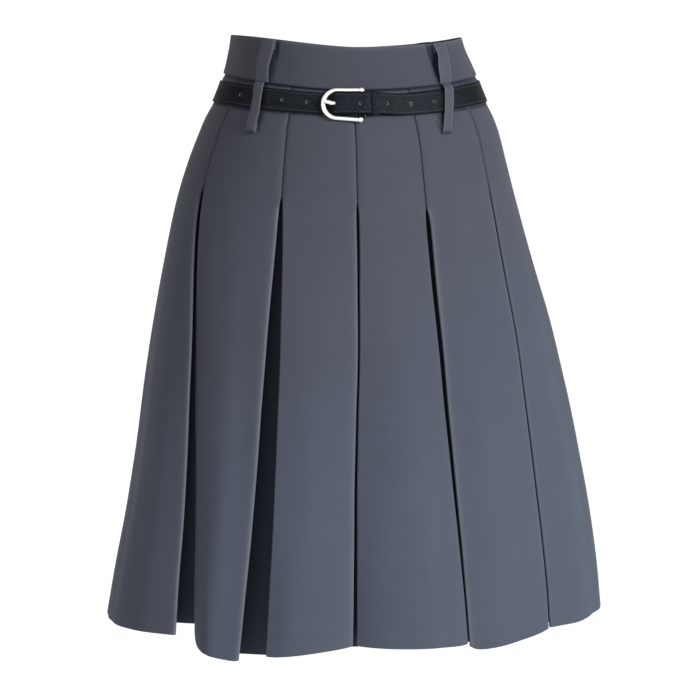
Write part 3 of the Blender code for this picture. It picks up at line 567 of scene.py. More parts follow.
def makeTapeCloth():
    material, tree, shader = newMaterial("zip tape cloth")
    weave = placeGroup(tree, twill, flatPlace(tree), Ribs_Per_Metre=700.0)
    colour = colourBetween(tree, (0.030, 0.034, 0.044), (0.052, 0.058, 0.075), weave.outputs["Shade"])
    rough = ranged(tree, weave.outputs["Shade"], 0.2, 0.8, 0.9, 0.75)
    fillShader(tree, shader, colour, rough, weave.outputs["Height"], 0.5, 0.00018)
    return material


# painted light: the waistband is a darker and the carriers a lighter copy of the one suiting
bandCloth = makeSuiting("waistband suiting", 0.90, 0.0)
carrierCloth = makeSuiting("carrier suiting", 1.14, 0.0)
leather = makeLeather()
buckleMetal = makeMetal("polished buckle metal", (0.80, 0.79, 0.77), (0.90, 0.89, 0.87), (0.18, 0.30), 900.0)
zipMetal = makeMetal("dull zip metal", (0.34, 0.35, 0.37), (0.46, 0.47, 0.49), (0.30, 0.46), 1500.0)
beltThread = makeThread("black belt thread", (0.012, 0.015, 0.019), (0.030, 0.035, 0.042))
clothThread = makeThread("dark blue thread", (0.020, 0.023, 0.032), (0.045, 0.050, 0.064))
# light rims round the belt holes: the raw leather edge, lightened further as a painted glint
rimEdgeAndGlint = makeThread("raw edge and painted glint", (0.14, 0.15, 0.16), (0.26, 0.27, 0.29))
# painted shade: the buckle's bar is a dark copy of the metal, standing for the shadow round it
shadedBar = makeMetal("bar metal painted dark as shade", (0.020, 0.021, 0.023), (0.035, 0.036, 0.040), (0.45, 0.60), 900.0)
coil = makeThread("zip coil", (0.030, 0.034, 0.045), (0.060, 0.066, 0.082))
tapeCloth = makeTapeCloth()
print("materials made")


def geometryTree(name, inputs):
    inputs = [("Geometry", "Geometry", None)] + inputs
    return newGroup(name, "GeometryNodeTree", inputs, [("Geometry", "Geometry")])


def finishTree(tree, given, result, instances):
    # instances become plain mesh with a material, because the export drops instances
    real = addNode(tree, "GeometryNodeRealizeInstances")
    rounded = addNode(tree, "GeometryNodeSetShadeSmooth")
    painted = addNode(tree, "GeometryNodeSetMaterial")
    linkAll(
        tree, (instances, real.inputs[0]), (real.outputs[0], rounded.inputs[0]),
        (rounded.outputs[0], painted.inputs[0]), (given.outputs["Material"], painted.inputs["Material"]),
        (painted.outputs[0], result.inputs[0]),
    )


def makeStitchRun():
    # stitches at an even pitch along each line, bedded along it and turned to face outwards
    tree, given, result = geometryTree("stitch run", [
        ("Pitch", "Float", 0.0034), ("Size", "Vector", (0.0024, 0.0005, 0.0004)),
        ("Facing", "Vector", (0.0, -1.0, 0.0)), ("Material", "Material", None),
    ])
    line = addNode(tree, "GeometryNodeMeshToCurve")
    spaced = addNode(tree, "GeometryNodeResampleCurve", mode="LENGTH")
    tangent = addNode(tree, "GeometryNodeInputTangent")
    turned = addNode(tree, "FunctionNodeAlignRotationToVector", axis="X")
    faced = addNode(tree, "FunctionNodeAlignRotationToVector", axis="Z", pivot_axis="X")
    stitch = addNode(tree, "GeometryNodeMeshUVSphere", Segments=8, Rings=5, Radius=0.5)
    placed = addNode(tree, "GeometryNodeInstanceOnPoints")
    linkAll(
        tree, (given.outputs["Geometry"], line.inputs[0]), (line.outputs[0], spaced.inputs["Curve"]),
        (given.outputs["Pitch"], spaced.inputs["Length"]), (tangent.outputs[0], turned.inputs["Vector"]),
        (turned.outputs[0], faced.inputs["Rotation"]), (given.outputs["Facing"], faced.inputs["Vector"]),
        (spaced.outputs[0], placed.inputs["Points"]), (stitch.outputs["Mesh"], placed.inputs["Instance"]),
        (faced.outputs[0], placed.inputs["Rotation"]), (given.outputs["Size"], placed.inputs["Scale"]),
    )
    finishTree(tree, given, result, placed.outputs[0])
    return tree


def makeRingSet():
    # thin rings round points, each turned to the direction stored at its point
    tree, given, result = geometryTree("ring set", [
        ("Radius", "Float", 0.0016), ("Thickness", "Float", 0.0003), ("Material", "Material", None),
    ])
    ring = addNode(tree, "GeometryNodeCurvePrimitiveCircle", Resolution=20)
    section = addNode(tree, "GeometryNodeCurvePrimitiveCircle", Resolution=6)
    body = addNode(tree, "GeometryNodeCurveToMesh")
    facing = addNode(tree, "GeometryNodeInputNamedAttribute", data_type="FLOAT_VECTOR", Name="facing")
    turned = addNode(tree, "FunctionNodeAlignRotationToVector", axis="Z")
    placed = addNode(tree, "GeometryNodeInstanceOnPoints")
    linkAll(
        tree, (given.outputs["Radius"], ring.inputs["Radius"]),
        (given.outputs["Thickness"], section.inputs["Radius"]),
        (ring.outputs[0], body.inputs["Curve"]), (section.outputs[0], body.inputs["Profile Curve"]),
        (facing.outputs["Attribute"], turned.inputs["Vector"]),
        (turned.outputs[0], placed.inputs["Rotation"]), (body.outputs[0], placed.inputs["Instance"]),
        (given.outputs["Geometry"], placed.inputs["Points"]),
    )
    finishTree(tree, given, result, placed.outputs[0])
    return tree


stitchRun = makeStitchRun()
ringSet = makeRingSet()


def grownPiece(name, tree, lines, values, facing=None):
    # runs a tree on lines of points, or on single points with a stored direction, and keeps the plain mesh
    points = [tuple(point) for line in lines for point in line]
    edges = []
    base = 0
    for line in lines:
        edges += [(base + i, base + i + 1) for i in range(len(line) - 1)]
        base += len(line)
    mesh = bpy.data.meshes.new(name + "_lines")
    mesh.from_pydata(points, edges, [])
    if facing is not None:
        stored = mesh.attributes.new("facing", "FLOAT_VECTOR", "POINT")
        stored.data.foreach_set("vector", np.asarray(facing, np.float32).ravel())
    host = bpy.data.objects.new(name + "_lines", mesh)
    bpy.context.scene.collection.objects.link(host)
    modifier = host.modifiers.new("grown", "NODES")
    modifier.node_group = tree
    for item in tree.interface.items_tree:
        if item.in_out == "INPUT" and item.name in values:
            modifier[item.identifier] = values[item.name]
    graph = bpy.context.evaluated_depsgraph_get()
    grown = bpy.data.meshes.new_from_object(host.evaluated_get(graph))
    grown.name = name
    piece = bpy.data.objects.new(name, grown)
    bpy.context.scene.collection.objects.link(piece)
    bpy.data.objects.remove(host)
    return piece


carrierRow = namedtuple("carrierRow", "name node topAngle seamAngle lowerAngle endAngle bow layers sway")
carriers = {
    "cloth": 0.0012,
    "upperWidth": 0.0150,
    "lowerWidth": 0.0110,
    "upperTop": 0.0016,
    "shadeReach": 0.0026,
    "shadeShift": 0.0018,  # the shade leans towards the middle of the front or the back
    "turnRadius": 0.0008,
    "turned": 0.0085,
    "lowerEnd": 0.0885,
    "facet": 0.00012,
    "tackPitch": 0.0011,
    "tackSize": (0.0009, 0.0006, 0.0004),
    "across": 13,
    "rows": (
        carrierRow("carrierFrontRight", "carrier_front_right", -44.6, -46.9, -48.0, -44.5, 0.0032, 1, 0.0006),
        carrierRow("carrierFrontLeft", "carrier_front_left", 46.8, 43.8, 43.8, 36.2, 0.0045, 2, 0.0010),
        carrierRow("carrierBackLeft", "carrier_back_left", 134.0, 134.0, 134.0, 136.0, 0.0030, 1, 0.0008),
        carrierRow("carrierBackRight", "carrier_back_right", 226.0, 226.0, 226.0, 224.0, 0.0030, 1, 0.0008),
    ),
}

belt = {
    "top": 0.0465,
    "bottom": 0.0675,
    "strap": 0.0016,
    "facet": 0.00012,
    "barAngle": 2.0,
    "barOut": 0.0044,
    "barRadius": 0.0011,
    "tailEnd": 40.5,
    "tailPoint": 0.004,  # how far the tail's corners are cut back
    "stitchesFrom": 0.052,  # the way along the strap at which its stitch lines begin to show
    "holePitch": 0.0260,
    "holeRadius": 0.0016,
    "prongHole": -0.0313,
    "holesBehind": 4,
    "holesAhead": 4,
    # painted shade: the leather is painted darkest where it turns round the hips, away from the light:
    # degrees from the front, reach and share
    "darkestAt": 78,
    "darkReach": 24,
    "darkness": 0.8,
    "stitchInset": 0.0022,
    "stitchPitch": 0.0034,
    "stitchSize": (0.0024, 0.00055, 0.00045),
}


def beneathCarriers(angle, drop):
    # how shaded the cloth and the strap are beneath the carriers
    seam = form["waistSeam"]
    upper = drop < seam
    reach = (carriers["upperWidth"] if upper else carriers["lowerWidth"]) / 2 + carriers["shadeReach"]
    halfWidth, frontDepth, _, _ = sectionAt(drop)
    shaded = np.zeros_like(angle)
    for row in carriers["rows"]:
        if upper:
            middle = mix(row.topAngle, row.seamAngle, drop / seam)
        else:
            middle = mix(row.lowerAngle, row.endAngle, (drop - seam) / (carriers["lowerEnd"] - seam))
        away = (angle - middle + 180) % 360 - 180
        away = np.radians(away) * (halfWidth + frontDepth) / 2
        towardsMiddle = -math.copysign(carriers["shadeShift"], math.sin(math.radians(2 * middle)))
        shaded = np.maximum(shaded, np.exp(-(((away - towardsMiddle) / reach) ** 8)))
    return shaded * float(1 - smooth((drop - carriers["lowerEnd"] + 0.002) / 0.003))


def beneathBelt(drop):
    # how shaded the cloth is just under the belt's lower edge
    below = drop - belt["bottom"]
    return float(smooth((below + 0.004) / 0.003) * (1 - smooth((below - 0.0006) / 0.0020)))


pleatRow = namedtuple("pleatRow", "angles release gaps rolls drops lifts edges")
panelEdge = namedtuple("panelEdge", "angle roll hemDrop pleat light")
foldRow = namedtuple("foldRow", "topAngle topDrop endAngle endDrop width depth")
skirtPiece = namedtuple("skirtPiece", "name node startAngle endAngle startDrop endDrop pleats cut area")

skirt = {
    "cloth": 0.0012,
    "gap": 0.0003,
    "top": 0.0418,
    "tucked": 0.0016,  # how far the cloth reaches up behind the waistband
    "length": 0.606,
    "hangsFrom": 0.163,
    "opensWithin": 0.007,
    "depthTop": 0.020,
    "depthHem": 0.034,
    "layer": 0.0018,
    "shutGap": 0.0004,
    "rollWidth": 0.030,
    "billow": 0.0045,
    "foldRadius": 0.0009,
    "lipShoulder": 0.0026,
    "ditch": 0.0011,
    "ditchWidth": 0.0020,
    "seamGroove": 0.0018,
    "sideSeam": 0.0004,
    "hemLine": 0.5875,
    "hemTurn": 0.030,
    "prickPitch": 0.0085,
    "prickSize": (0.0009, 0.0004, 0.0003),
    "panelColumns": 22,
    "levels": (0.0415, 0.163, 0.300, 0.450, 0.606),
    # angles at the levels; the drop where it opens; gaps at the last four levels; the first and second
    # lip's roll; hem drops of first lip, underlay and second lip; how far each lip's corner is rounded
    # upwards; how strong the painted highlight on each folded edge is
    "frontPleats": (
        pleatRow((-65.2, -62.4, -55.7, -51.7, -46.9), 0.1430, (0.0052, 0.0009, 0.0038, 0.0115),
                 (0.000, 0.019), (-0.0072, -0.0130, 0.0050), (0.000, 0.026), (0.8, 0.0)),
        pleatRow((-31.3, -25.9, -26.0, -27.3, -26.9), 0.1495, (0.0042, 0.0140, 0.0198, 0.0272),
                 (-0.003, 0.000), (0.0150, 0.0122, 0.0084), (0.003, 0.002), (1.0, 0.2)),
        pleatRow((-3.0, 0.1, -1.4, -3.9, -3.1), 0.1550, (0.0026, 0.0016, 0.0024, 0.0038),
                 (0.004, 0.007), (-0.0020, 0.0018, -0.0017), (0.001, 0.001), (0.7, 0.2)),
        pleatRow((23.1, 24.2, 22.5, 21.7, 23.8), 0.1615, (0.0048, 0.0042, 0.0032, 0.0018),
                 (0.003, 0.003), (0.0000, 0.0000, 0.0082), (0.002, 0.008), (0.1, 0.9)),
        pleatRow((55.6, 55.1, 51.6, 47.8, 48.1), 0.1440, (0.0022, 0.0015, 0.0015, 0.0016),
                 (0.001, 0.001), (-0.0068, -0.0090, -0.0076), (0.000, 0.000), (0.5, 0.3)),
    ),
    "backLeftPleats": (
        pleatRow((118.0, 120.0, 123.5, 126.0, 127.0), 0.1500, (0.0030, 0.0042, 0.0080, 0.0140),
                 (0.000, 0.006), (0.0020, -0.0010, 0.0000), (0.002, 0.008), (0.7, 0.2)),
        pleatRow((155.5, 154.0, 153.6, 154.4, 155.0), 0.1530, (0.0020, 0.0023, 0.0030, 0.0040),
                 (0.004, 0.000), (-0.0010, -0.0030, 0.0010), (0.002, 0.002), (0.2, 0.6)),
    ),
    "backRightPleats": (
        pleatRow((204.0, 206.0, 206.2, 205.0, 204.0), 0.1520, (0.0028, 0.0034, 0.0055, 0.0090),
                 (0.000, 0.000), (0.0010, -0.0020, 0.0020), (0.002, 0.003), (0.6, 0.5)),
        pleatRow((243.0, 240.0, 236.5, 234.5, 233.0), 0.1470, (0.0026, 0.0034, 0.0045, 0.0060),
                 (0.008, 0.000), (0.0030, -0.0020, -0.0020), (0.003, 0.002), (0.1, 0.8)),
    ),
    # soft folds of the cloth: troughs have a positive depth and ridges a negative one
    "folds": (
        foldRow(-85.0, 0.150, -79.0, 0.720, 0.018, 0.0024),
        foldRow(-70.0, 0.120, -58.0, 0.700, 0.014, -0.0014),
        foldRow(-52.0, 0.110, -40.0, 0.560, 0.016, 0.0016),
        foldRow(-43.0, 0.240, -35.5, 0.720, 0.012, -0.0022),
        foldRow(-36.0, 0.150, -33.0, 0.480, 0.010, 0.0009),
        foldRow(-18.0, 0.120, -16.0, 0.450, 0.020, -0.0010),
        foldRow(-1.5, 0.180, -3.0, 0.900, 0.050, 0.0075),
        foldRow(-11.0, 0.300, -9.5, 0.720, 0.014, 0.0016),
        foldRow(-19.0, 0.420, -19.5, 0.740, 0.012, -0.0014),
        foldRow(9.0, 0.140, 7.0, 0.500, 0.016, -0.0012),
        foldRow(17.0, 0.280, 17.5, 0.730, 0.010, 0.0018),
        foldRow(31.0, 0.180, 31.0, 0.560, 0.012, -0.0014),
        foldRow(40.0, 0.260, 37.0, 0.740, 0.016, 0.0020),
        foldRow(46.0, 0.110, 43.0, 0.420, 0.012, 0.0010),
        foldRow(62.0, 0.190, 57.0, 0.730, 0.014, -0.0024),
        foldRow(74.0, 0.140, 70.0, 0.740, 0.018, 0.0034),
        foldRow(84.0, 0.100, 81.0, 0.450, 0.016, -0.0018),
        foldRow(101.0, 0.130, 105.0, 0.740, 0.020, 0.0032),
        foldRow(112.0, 0.180, 117.0, 0.730, 0.014, -0.0022),
        foldRow(133.0, 0.120, 137.0, 0.470, 0.014, 0.0013),
        foldRow(143.0, 0.260, 145.0, 0.740, 0.016, -0.0020),
        foldRow(166.0, 0.150, 167.0, 0.600, 0.016, 0.0014),
        foldRow(173.0, 0.330, 173.5, 0.740, 0.010, -0.0012),
        foldRow(191.0, 0.130, 190.0, 0.520, 0.014, -0.0012),
        foldRow(196.0, 0.280, 196.0, 0.740, 0.014, 0.0019),
        foldRow(215.0, 0.120, 213.0, 0.440, 0.012, 0.0011),
        foldRow(224.0, 0.230, 219.0, 0.740, 0.018, -0.0024),
        foldRow(250.0, 0.140, 244.0, 0.730, 0.016, 0.0030),
        foldRow(260.0, 0.120, 257.0, 0.560, 0.016, -0.0020),
    ),
}
skirtCloth = makeSuiting("suiting", 1.0, skirt["hemLine"])
# name, node, first and last angle, hem drop there, pleats, flat size and area of the cloth that shows
skirtPieces = (
    skirtPiece("frontSkirt", "skirt_front", -90.0, 90.0, -0.0034, -0.0100,
               skirt["frontPleats"], (1.33, 0.566), 0.60),
    skirtPiece("backSkirtLeft", "skirt_back_left", 90.0, 180.0, -0.0100, 0.0000,
               skirt["backLeftPleats"], (0.60, 0.566), 0.27),
    skirtPiece("backSkirtRight", "skirt_back_right", 180.0, 270.0, 0.0000, -0.0034,
               skirt["backRightPleats"], (0.60, 0.566), 0.27),
)


def hanging(drop):
    # how far a drop is from where the cloth starts to hang (0) to the hem (1)
    return min(max((drop - skirt["hangsFrom"]) / (skirt["length"] - skirt["hangsFrom"]), 0.0), 1.0)


def pleatAngle(pleat, drop):
    return float(betweenRows(np.column_stack([skirt["levels"], pleat.angles]), drop)[0])


def gapOf(pleat, drop):
    if drop <= pleat.release:
        return skirt["shutGap"]
    opened = float(betweenRows(np.column_stack([skirt["levels"][1:], pleat.gaps]), drop)[0])
    return skirt["shutGap"] + opened * (1 - math.exp((pleat.release - drop) / skirt["opensWithin"]))


def sewnAt(pleat, drop):
    # 1 where the pleat is sewn down, falling to 0 at its release
    return 1 - float(smooth((drop - pleat.release + 0.003) / 0.012))


def ditchAt(pleat, drop, distance):
    # above the release the stitching holds both lips down in a soft ditch
    return skirt["ditch"] * sewnAt(pleat, drop) * np.exp(-distance / skirt["ditchWidth"])


def softFolds(angle, drop):
    # how far the soft folds push the cloth in at these angles
    halfWidth, frontDepth, backDepth, _ = sectionAt(drop)
    radius = (halfWidth + (frontDepth + backDepth) / 2) / 2
    pushed = np.zeros_like(angle)
    for fold in skirt["folds"]:
        share = (drop - fold.topDrop) / (fold.endDrop - fold.topDrop)
        if not 0 < share < 1:
            continue
        away = np.radians(angle - mix(fold.topAngle, fold.endAngle, share)) * radius / fold.width
        grown = smooth(share / 0.55) * smooth((1 - share) / 0.25)
        pushed += fold.depth * grown * np.exp(-away * away)
    return pushed


def roundedCorners(corners, radius, steps):
    # an arc with the same number of steps in place of each inner corner of a flat line
    arcs = []
    for before, corner, after in zip(corners, corners[1:], corners[2:]):
        back = before - corner
        ahead = after - corner
        backLength = np.linalg.norm(back)
        aheadLength = np.linalg.norm(ahead)
        back = back / backLength
        ahead = ahead / aheadLength
        half = math.acos(float(np.clip(back @ ahead, -1, 1))) / 2
        reach = min(radius / math.tan(half), 0.499 * backLength, 0.499 * aheadLength)
        middle = back + ahead
        size = np.linalg.norm(middle)
        turn = math.pi - 2 * half
        if size < 1e-6 or turn < 1e-4:
            across = [mix(back, ahead, i / steps) * reach * 0.5 for i in range(steps + 1)]
            arcs.append(corner + np.array(across))
            continue
        centre = corner + middle / size * (reach / math.cos(half))
        start = corner + back * reach - centre
        end = corner + ahead * reach - centre
        passed = np.arange(steps + 1)[:, None] / steps
        swept = start * np.sin((1 - passed) * turn) + end * np.sin(passed * turn)
        arcs.append(centre + swept / math.sin(turn))
    return arcs


def rollAt(distance, roll):
    return roll * np.maximum(1 - distance / skirt["rollWidth"], 0.0) ** 2


def seamShade(pleat, drop, distance):
    # the shade inside a stitched ditch, deeper towards the sides
    sideways = abs(math.sin(math.radians(pleat.angles[0])))
    return sewnAt(pleat, drop) * sideways * 0.5 * np.exp(-distance / 0.0009)


def panelPart(drop, start, end):
    # one level of a panel, which reaches right to a seam's edge but stops short of a pleat's lip
    columns = skirt["panelColumns"]
    below = hanging(drop)
    halfWidth, frontDepth, backDepth, _ = sectionAt(drop)
    depth = frontDepth if math.cos(math.radians(start.angle)) > 0 else backDepth
    width = math.radians(end.angle - start.angle) * (halfWidth + depth) / 2
    low = skirt["lipShoulder"] / width if start.pleat else 0.0
    high = 1 - (skirt["lipShoulder"] / width if end.pleat else 0.0)
    t = np.linspace(0, 1, columns)
    share = mix(low, high, 0.55 * t + 0.45 * (1 - np.cos(math.pi * t)) / 2)
    rolled = rollAt(share * width, start.roll) + rollAt((1 - share) * width, end.roll)
    inward = (rolled - skirt["billow"] * np.sin(math.pi * share)) * below
    edge = np.zeros(columns)
    shade = np.zeros(columns)
    for place, distance in ((start, share * width), (end, (1 - share) * width)):
        if place.pleat:
            inward = inward + ditchAt(place.pleat, drop, distance)
            # painted highlight along the lip's folded edge
            edge += place.light * np.exp(-distance / 0.0020)
            shade += seamShade(place.pleat, drop, distance)
        else:
            inward = inward + skirt["sideSeam"] * np.exp(-((distance / 0.0016) ** 2))
    flat = np.minimum(share, 1 - share) * width
    return {
        "angle": mix(start.angle, end.angle, share),
        "inward": inward,
        "hemDrop": mix(start.hemDrop, end.hemDrop, share),
        "panel": smooth((flat - 0.004) / 0.004),
        "edge": edge,
        "depth": shade,
        "outside": np.ones(columns),
    }


def pleatPart(pleat, drop):
    # the folds of one pleat from lip to lip, rounded where the cloth turns
    below = hanging(drop)
    middle = pleatAngle(pleat, drop)
    depth = mix(skirt["depthTop"], skirt["depthHem"], drop / skirt["length"])
    parted = (gapOf(pleat, drop) + skirt["cloth"]) / 2
    swing = depth * math.sin(math.acos(1 - parted / depth))
    layer = skirt["layer"]
    shoulder = skirt["lipShoulder"]

    def side(sign, roll, lipDrop):
        lipIn = roll * below + float(ditchAt(pleat, drop, 0.0))
        nearIn = float(rollAt(shoulder, roll)) * below + float(ditchAt(pleat, drop, shoulder))
        return [
            ((sign * (parted + shoulder), nearIn), lipDrop),
            ((sign * parted, lipIn), lipDrop),
            ((sign * parted, lipIn + layer), lipDrop),
            ((sign * depth, lipIn + layer + swing), underDrop),
            ((sign * depth, lipIn + 2 * layer + swing), underDrop),
        ]

    firstDrop, underDrop, secondDrop = pleat.drops
    corners = side(-1, pleat.rolls[0], firstDrop) + side(1, pleat.rolls[1], secondDrop)[::-1]
    flat = [np.array(place) for place, _ in corners]
    drops = [hemDrop for _, hemDrop in corners]
    arcs = roundedCorners(flat, skirt["foldRadius"], 4)
    between = (0, 5, 0, 9, 0, 5, 0)
    line = []
    hemDrop = []
    edge = []
    for i, arc in enumerate(arcs):
        line += list(arc)
        hemDrop += [drops[i + 1]] * len(arc)
        # painted highlight on each lip's folded edge
        edge += [pleat.edges[0] if i == 0 else pleat.edges[1] if i == 7 else 0.0] * len(arc)
        if i < len(between):
            for share in np.arange(1, between[i] + 1) / (between[i] + 1):
                line.append(mix(arc[-1], arcs[i + 1][0], share))
                hemDrop.append(mix(drops[i + 1], drops[i + 2], share))
                edge.append(0.0)
    line = np.array(line)
    lips = mix(line[0, 1], line[-1, 1], np.linspace(0, 1, len(line)))
    # painted shade inside the pleat's hidden folds, lighter towards the hem
    inFold = (0.82 - 0.22 * below**4) * smooth((line[:, 1] - lips - 0.0015) / 0.010)
    return {
        "angle": angleAfter(middle, drop, line[:, 0]),
        "inward": line[:, 1],
        "hemDrop": np.array(hemDrop),
        "panel": np.zeros(len(line)),
        "edge": np.array(edge),
        "depth": np.maximum(inFold, float(seamShade(pleat, drop, 0.0))),
        "outside": np.zeros(len(line)),
    }


def clothRow(piece, drop):
    # one level of a skirt piece, from seam to seam, and the columns where its lips are
    gap = skirt["gap"] / 2
    parts = []
    lips = []
    count = 0

    def edgeAt(angle, distance, hemDrop, pleat=None, roll=0.0, light=0.0):
        return panelEdge(float(angleAfter(angle, drop, distance)), roll, hemDrop, pleat, light)

    start = edgeAt(piece.startAngle, gap, piece.startDrop)
    for pleat in piece.pleats:
        middle = pleatAngle(pleat, drop)
        parted = (gapOf(pleat, drop) + skirt["cloth"]) / 2
        end = edgeAt(middle, -parted, pleat.drops[0], pleat, pleat.rolls[0], pleat.edges[0])
        parts += [panelPart(drop, start, end), pleatPart(pleat, drop)]
        count += skirt["panelColumns"]
        size = len(parts[-1]["angle"])
        lips += [(count + 4, pleat.lifts[0]), (count + size - 5, pleat.lifts[1])]
        count += size
        start = edgeAt(middle, parted, pleat.drops[2], pleat, pleat.rolls[1], pleat.edges[1])
    parts.append(panelPart(drop, start, edgeAt(piece.endAngle, -gap, piece.endDrop)))
    return {key: np.concatenate([part[key] for part in parts]) for key in parts[0]}, lips


def rowDrops():
    # the levels of the rows, close together at seams, stitch lines, the belt's edge and the hem
    top, length = skirt["top"], skirt["length"]
    fixed = [
        drop + shift for drop, shifts in (
            (top, (-skirt["tucked"], 0.0, 0.0012, 0.0020, 0.0028, 0.0036, 0.0050)),
            (belt["bottom"], (-0.0006, 0.0006, 0.0018, 0.0030)),
            (skirt["hemLine"], (-0.003, -0.0015, 0.0, 0.0015, 0.003)),
            (length - skirt["hemTurn"], (-0.001, 0.001)),
            (length, (-0.0012, 0.0)),
        ) for shift in shifts
    ]
    even = np.concatenate([np.arange(*stretch) for stretch in (
        (0.050, 0.136, 0.008), (0.140, 0.186, 0.0033), (0.190, 0.232, 0.006), (0.238, 0.572, 0.0086),
        (0.580, 0.605, 0.004),
    )])
    return sorted(fixed + [drop for drop in even if min(abs(drop - other) for other in fixed) > 0.0009])


def makeSkirtPiece(piece):
    drops = rowDrops()
    length = skirt["length"]
    middle, uv, edge, depth, inner = [], [], [], [], []
    for drop in drops:
        row, lips = clothRow(piece, drop)
        groove = 0.00016 * math.exp(-(((drop - skirt["hemLine"]) / 0.0013) ** 2))
        seam = skirt["seamGroove"] * (1 - float(smooth((drop - skirt["top"] - 0.0014) / 0.0020)))
        inward = row["inward"] + softFolds(row["angle"], drop) + groove * row["panel"] + seam
        points = levelPoints(row["angle"], drop, inward)
        walked = walkedAlong(points)
        lowered = row["hemDrop"] * hanging(drop) ** 2
        nearHem = float(smooth((drop - (length - 0.060)) / 0.060)) ** 2
        for column, lift in lips:
            away = np.abs(walked - walked[column])
            lowered = lowered - lift * nearHem * (0.6 * np.exp(-away / 0.004) + 0.4 * np.exp(-away / 0.020))
        points[:, 2] -= lowered
        middle.append(points)
        uv.append(np.stack([walked, np.full(len(walked), drop)], axis=-1))
        # painted highlight along the lips, weaker above where the cloth starts to hang
        edge.append(row["edge"] * (1 - 0.75 * (drop < skirt["hangsFrom"])))
        # painted shade: the row's own shade, the waist seam's groove, and beneath the carriers and the belt
        shaded = np.maximum(row["depth"], seam / skirt["seamGroove"])
        if drop < carriers["lowerEnd"]:
            hidden = np.maximum(beneathCarriers(row["angle"], drop), beneathBelt(drop))
            shaded = np.maximum(shaded, hidden * row["outside"])
        depth.append(shaded)
        turned = float(smooth((drop - (length - skirt["hemTurn"])) / 0.001))
        inner.append(skirt["cloth"] / 2 + 0.0009 * turned * row["panel"])
    middle = np.array(middle)
    thinned = 1 - 0.45 * smooth((np.array(drops) - (length - 0.0012)) / 0.0012)
    obj = shell(
        piece.name, middle, skirt["cloth"] / 2 * thinned[:, None], np.array(inner) * thinned[:, None],
        skirtCloth, np.array(uv), {"foldedEdge": np.array(edge), "paintedShade": np.array(depth)},
    )
    handOver(obj, piece.node)
    print(piece.name, "flat width at top and hem", round(uv[0][-1, 0], 3), round(uv[-1][-1, 0], 3))


for piece in skirtPieces:
    makeSkirtPiece(piece)
print("skirt made")


bandPiece = namedtuple("bandPiece", "name node startAngle endAngle cut")
band = {
    "height": form["waistSeam"],
    "cloth": 0.0024,
    "outer": 0.0011,  # how far its face stands out from the middle of the skirt's cloth
    "edgeRadius": 0.0010,
    "columnStep": 0.75,
    # soft waves of the band: angle, width in degrees, depth
    "waves": (
        (-78, 8, 0.0010), (-62, 6, -0.0008), (-38, 7, 0.0009), (-20, 9, -0.0005), (2, 12, 0.0006),
        (22, 8, -0.0005), (38, 6, 0.0011), (58, 7, -0.0008), (76, 7, 0.0009), (104, 9, -0.0007),
        (126, 7, 0.0009), (150, 9, -0.0006), (172, 6, 0.0005), (199, 8, -0.0006), (218, 7, 0.0009),
        (243, 9, -0.0008), (262, 7, 0.0007),
    ),
    # hollows beside the carriers: angle at the top and at the seam, first and last drop, half width, depth
    "hollows": (
        (40.4, 43.0, 0.000, 0.036, 2.0, 0.0016), (-39.6, -42.4, 0.000, 0.016, 0.9, 0.0012),
        (138.5, 137.5, 0.004, 0.036, 1.2, 0.0012), (221.8, 222.6, 0.004, 0.030, 1.0, 0.0010),
    ),
    "pieces": (
        bandPiece("waistbandFront", "waistband_front", -90.0, 90.0, (0.36, 0.0415)),
        bandPiece("waistbandBackLeft", "waistband_back_left", 90.0, 180.0, (0.176, 0.0415)),
        bandPiece("waistbandBackRight", "waistband_back_right", 180.0, 270.0, (0.176, 0.0415)),
    ),
}


def bandWave(angle, drop):
    # waves run down the band and fade at its upper edge
    pushed = np.zeros_like(angle)
    for middle, width, depth in band["waves"]:
        lean = (drop - 0.02) * 60
        pushed += depth * np.exp(-(((angle - middle - lean) / width) ** 2))
    return pushed * float(smooth(drop / 0.020)) * float(1 - 0.6 * smooth((drop - 0.028) / 0.0135))


def bandHollow(angle, drop):
    # how far the band sinks beside the carriers, and how shaded it is there
    sunk = np.zeros_like(angle)
    shaded = np.zeros_like(angle)
    for top, seam, first, last, width, depth in band["hollows"]:
        middle = mix(top, seam, drop / band["height"])
        held = float(smooth((drop - first + 0.004) / 0.005) * smooth((last + 0.004 - drop) / 0.006))
        across = np.exp(-(((angle - middle) / width) ** 4)) * held
        sunk += depth * across
        shaded += across * depth / 0.0012
    return sunk, np.minimum(shaded, 1.0)


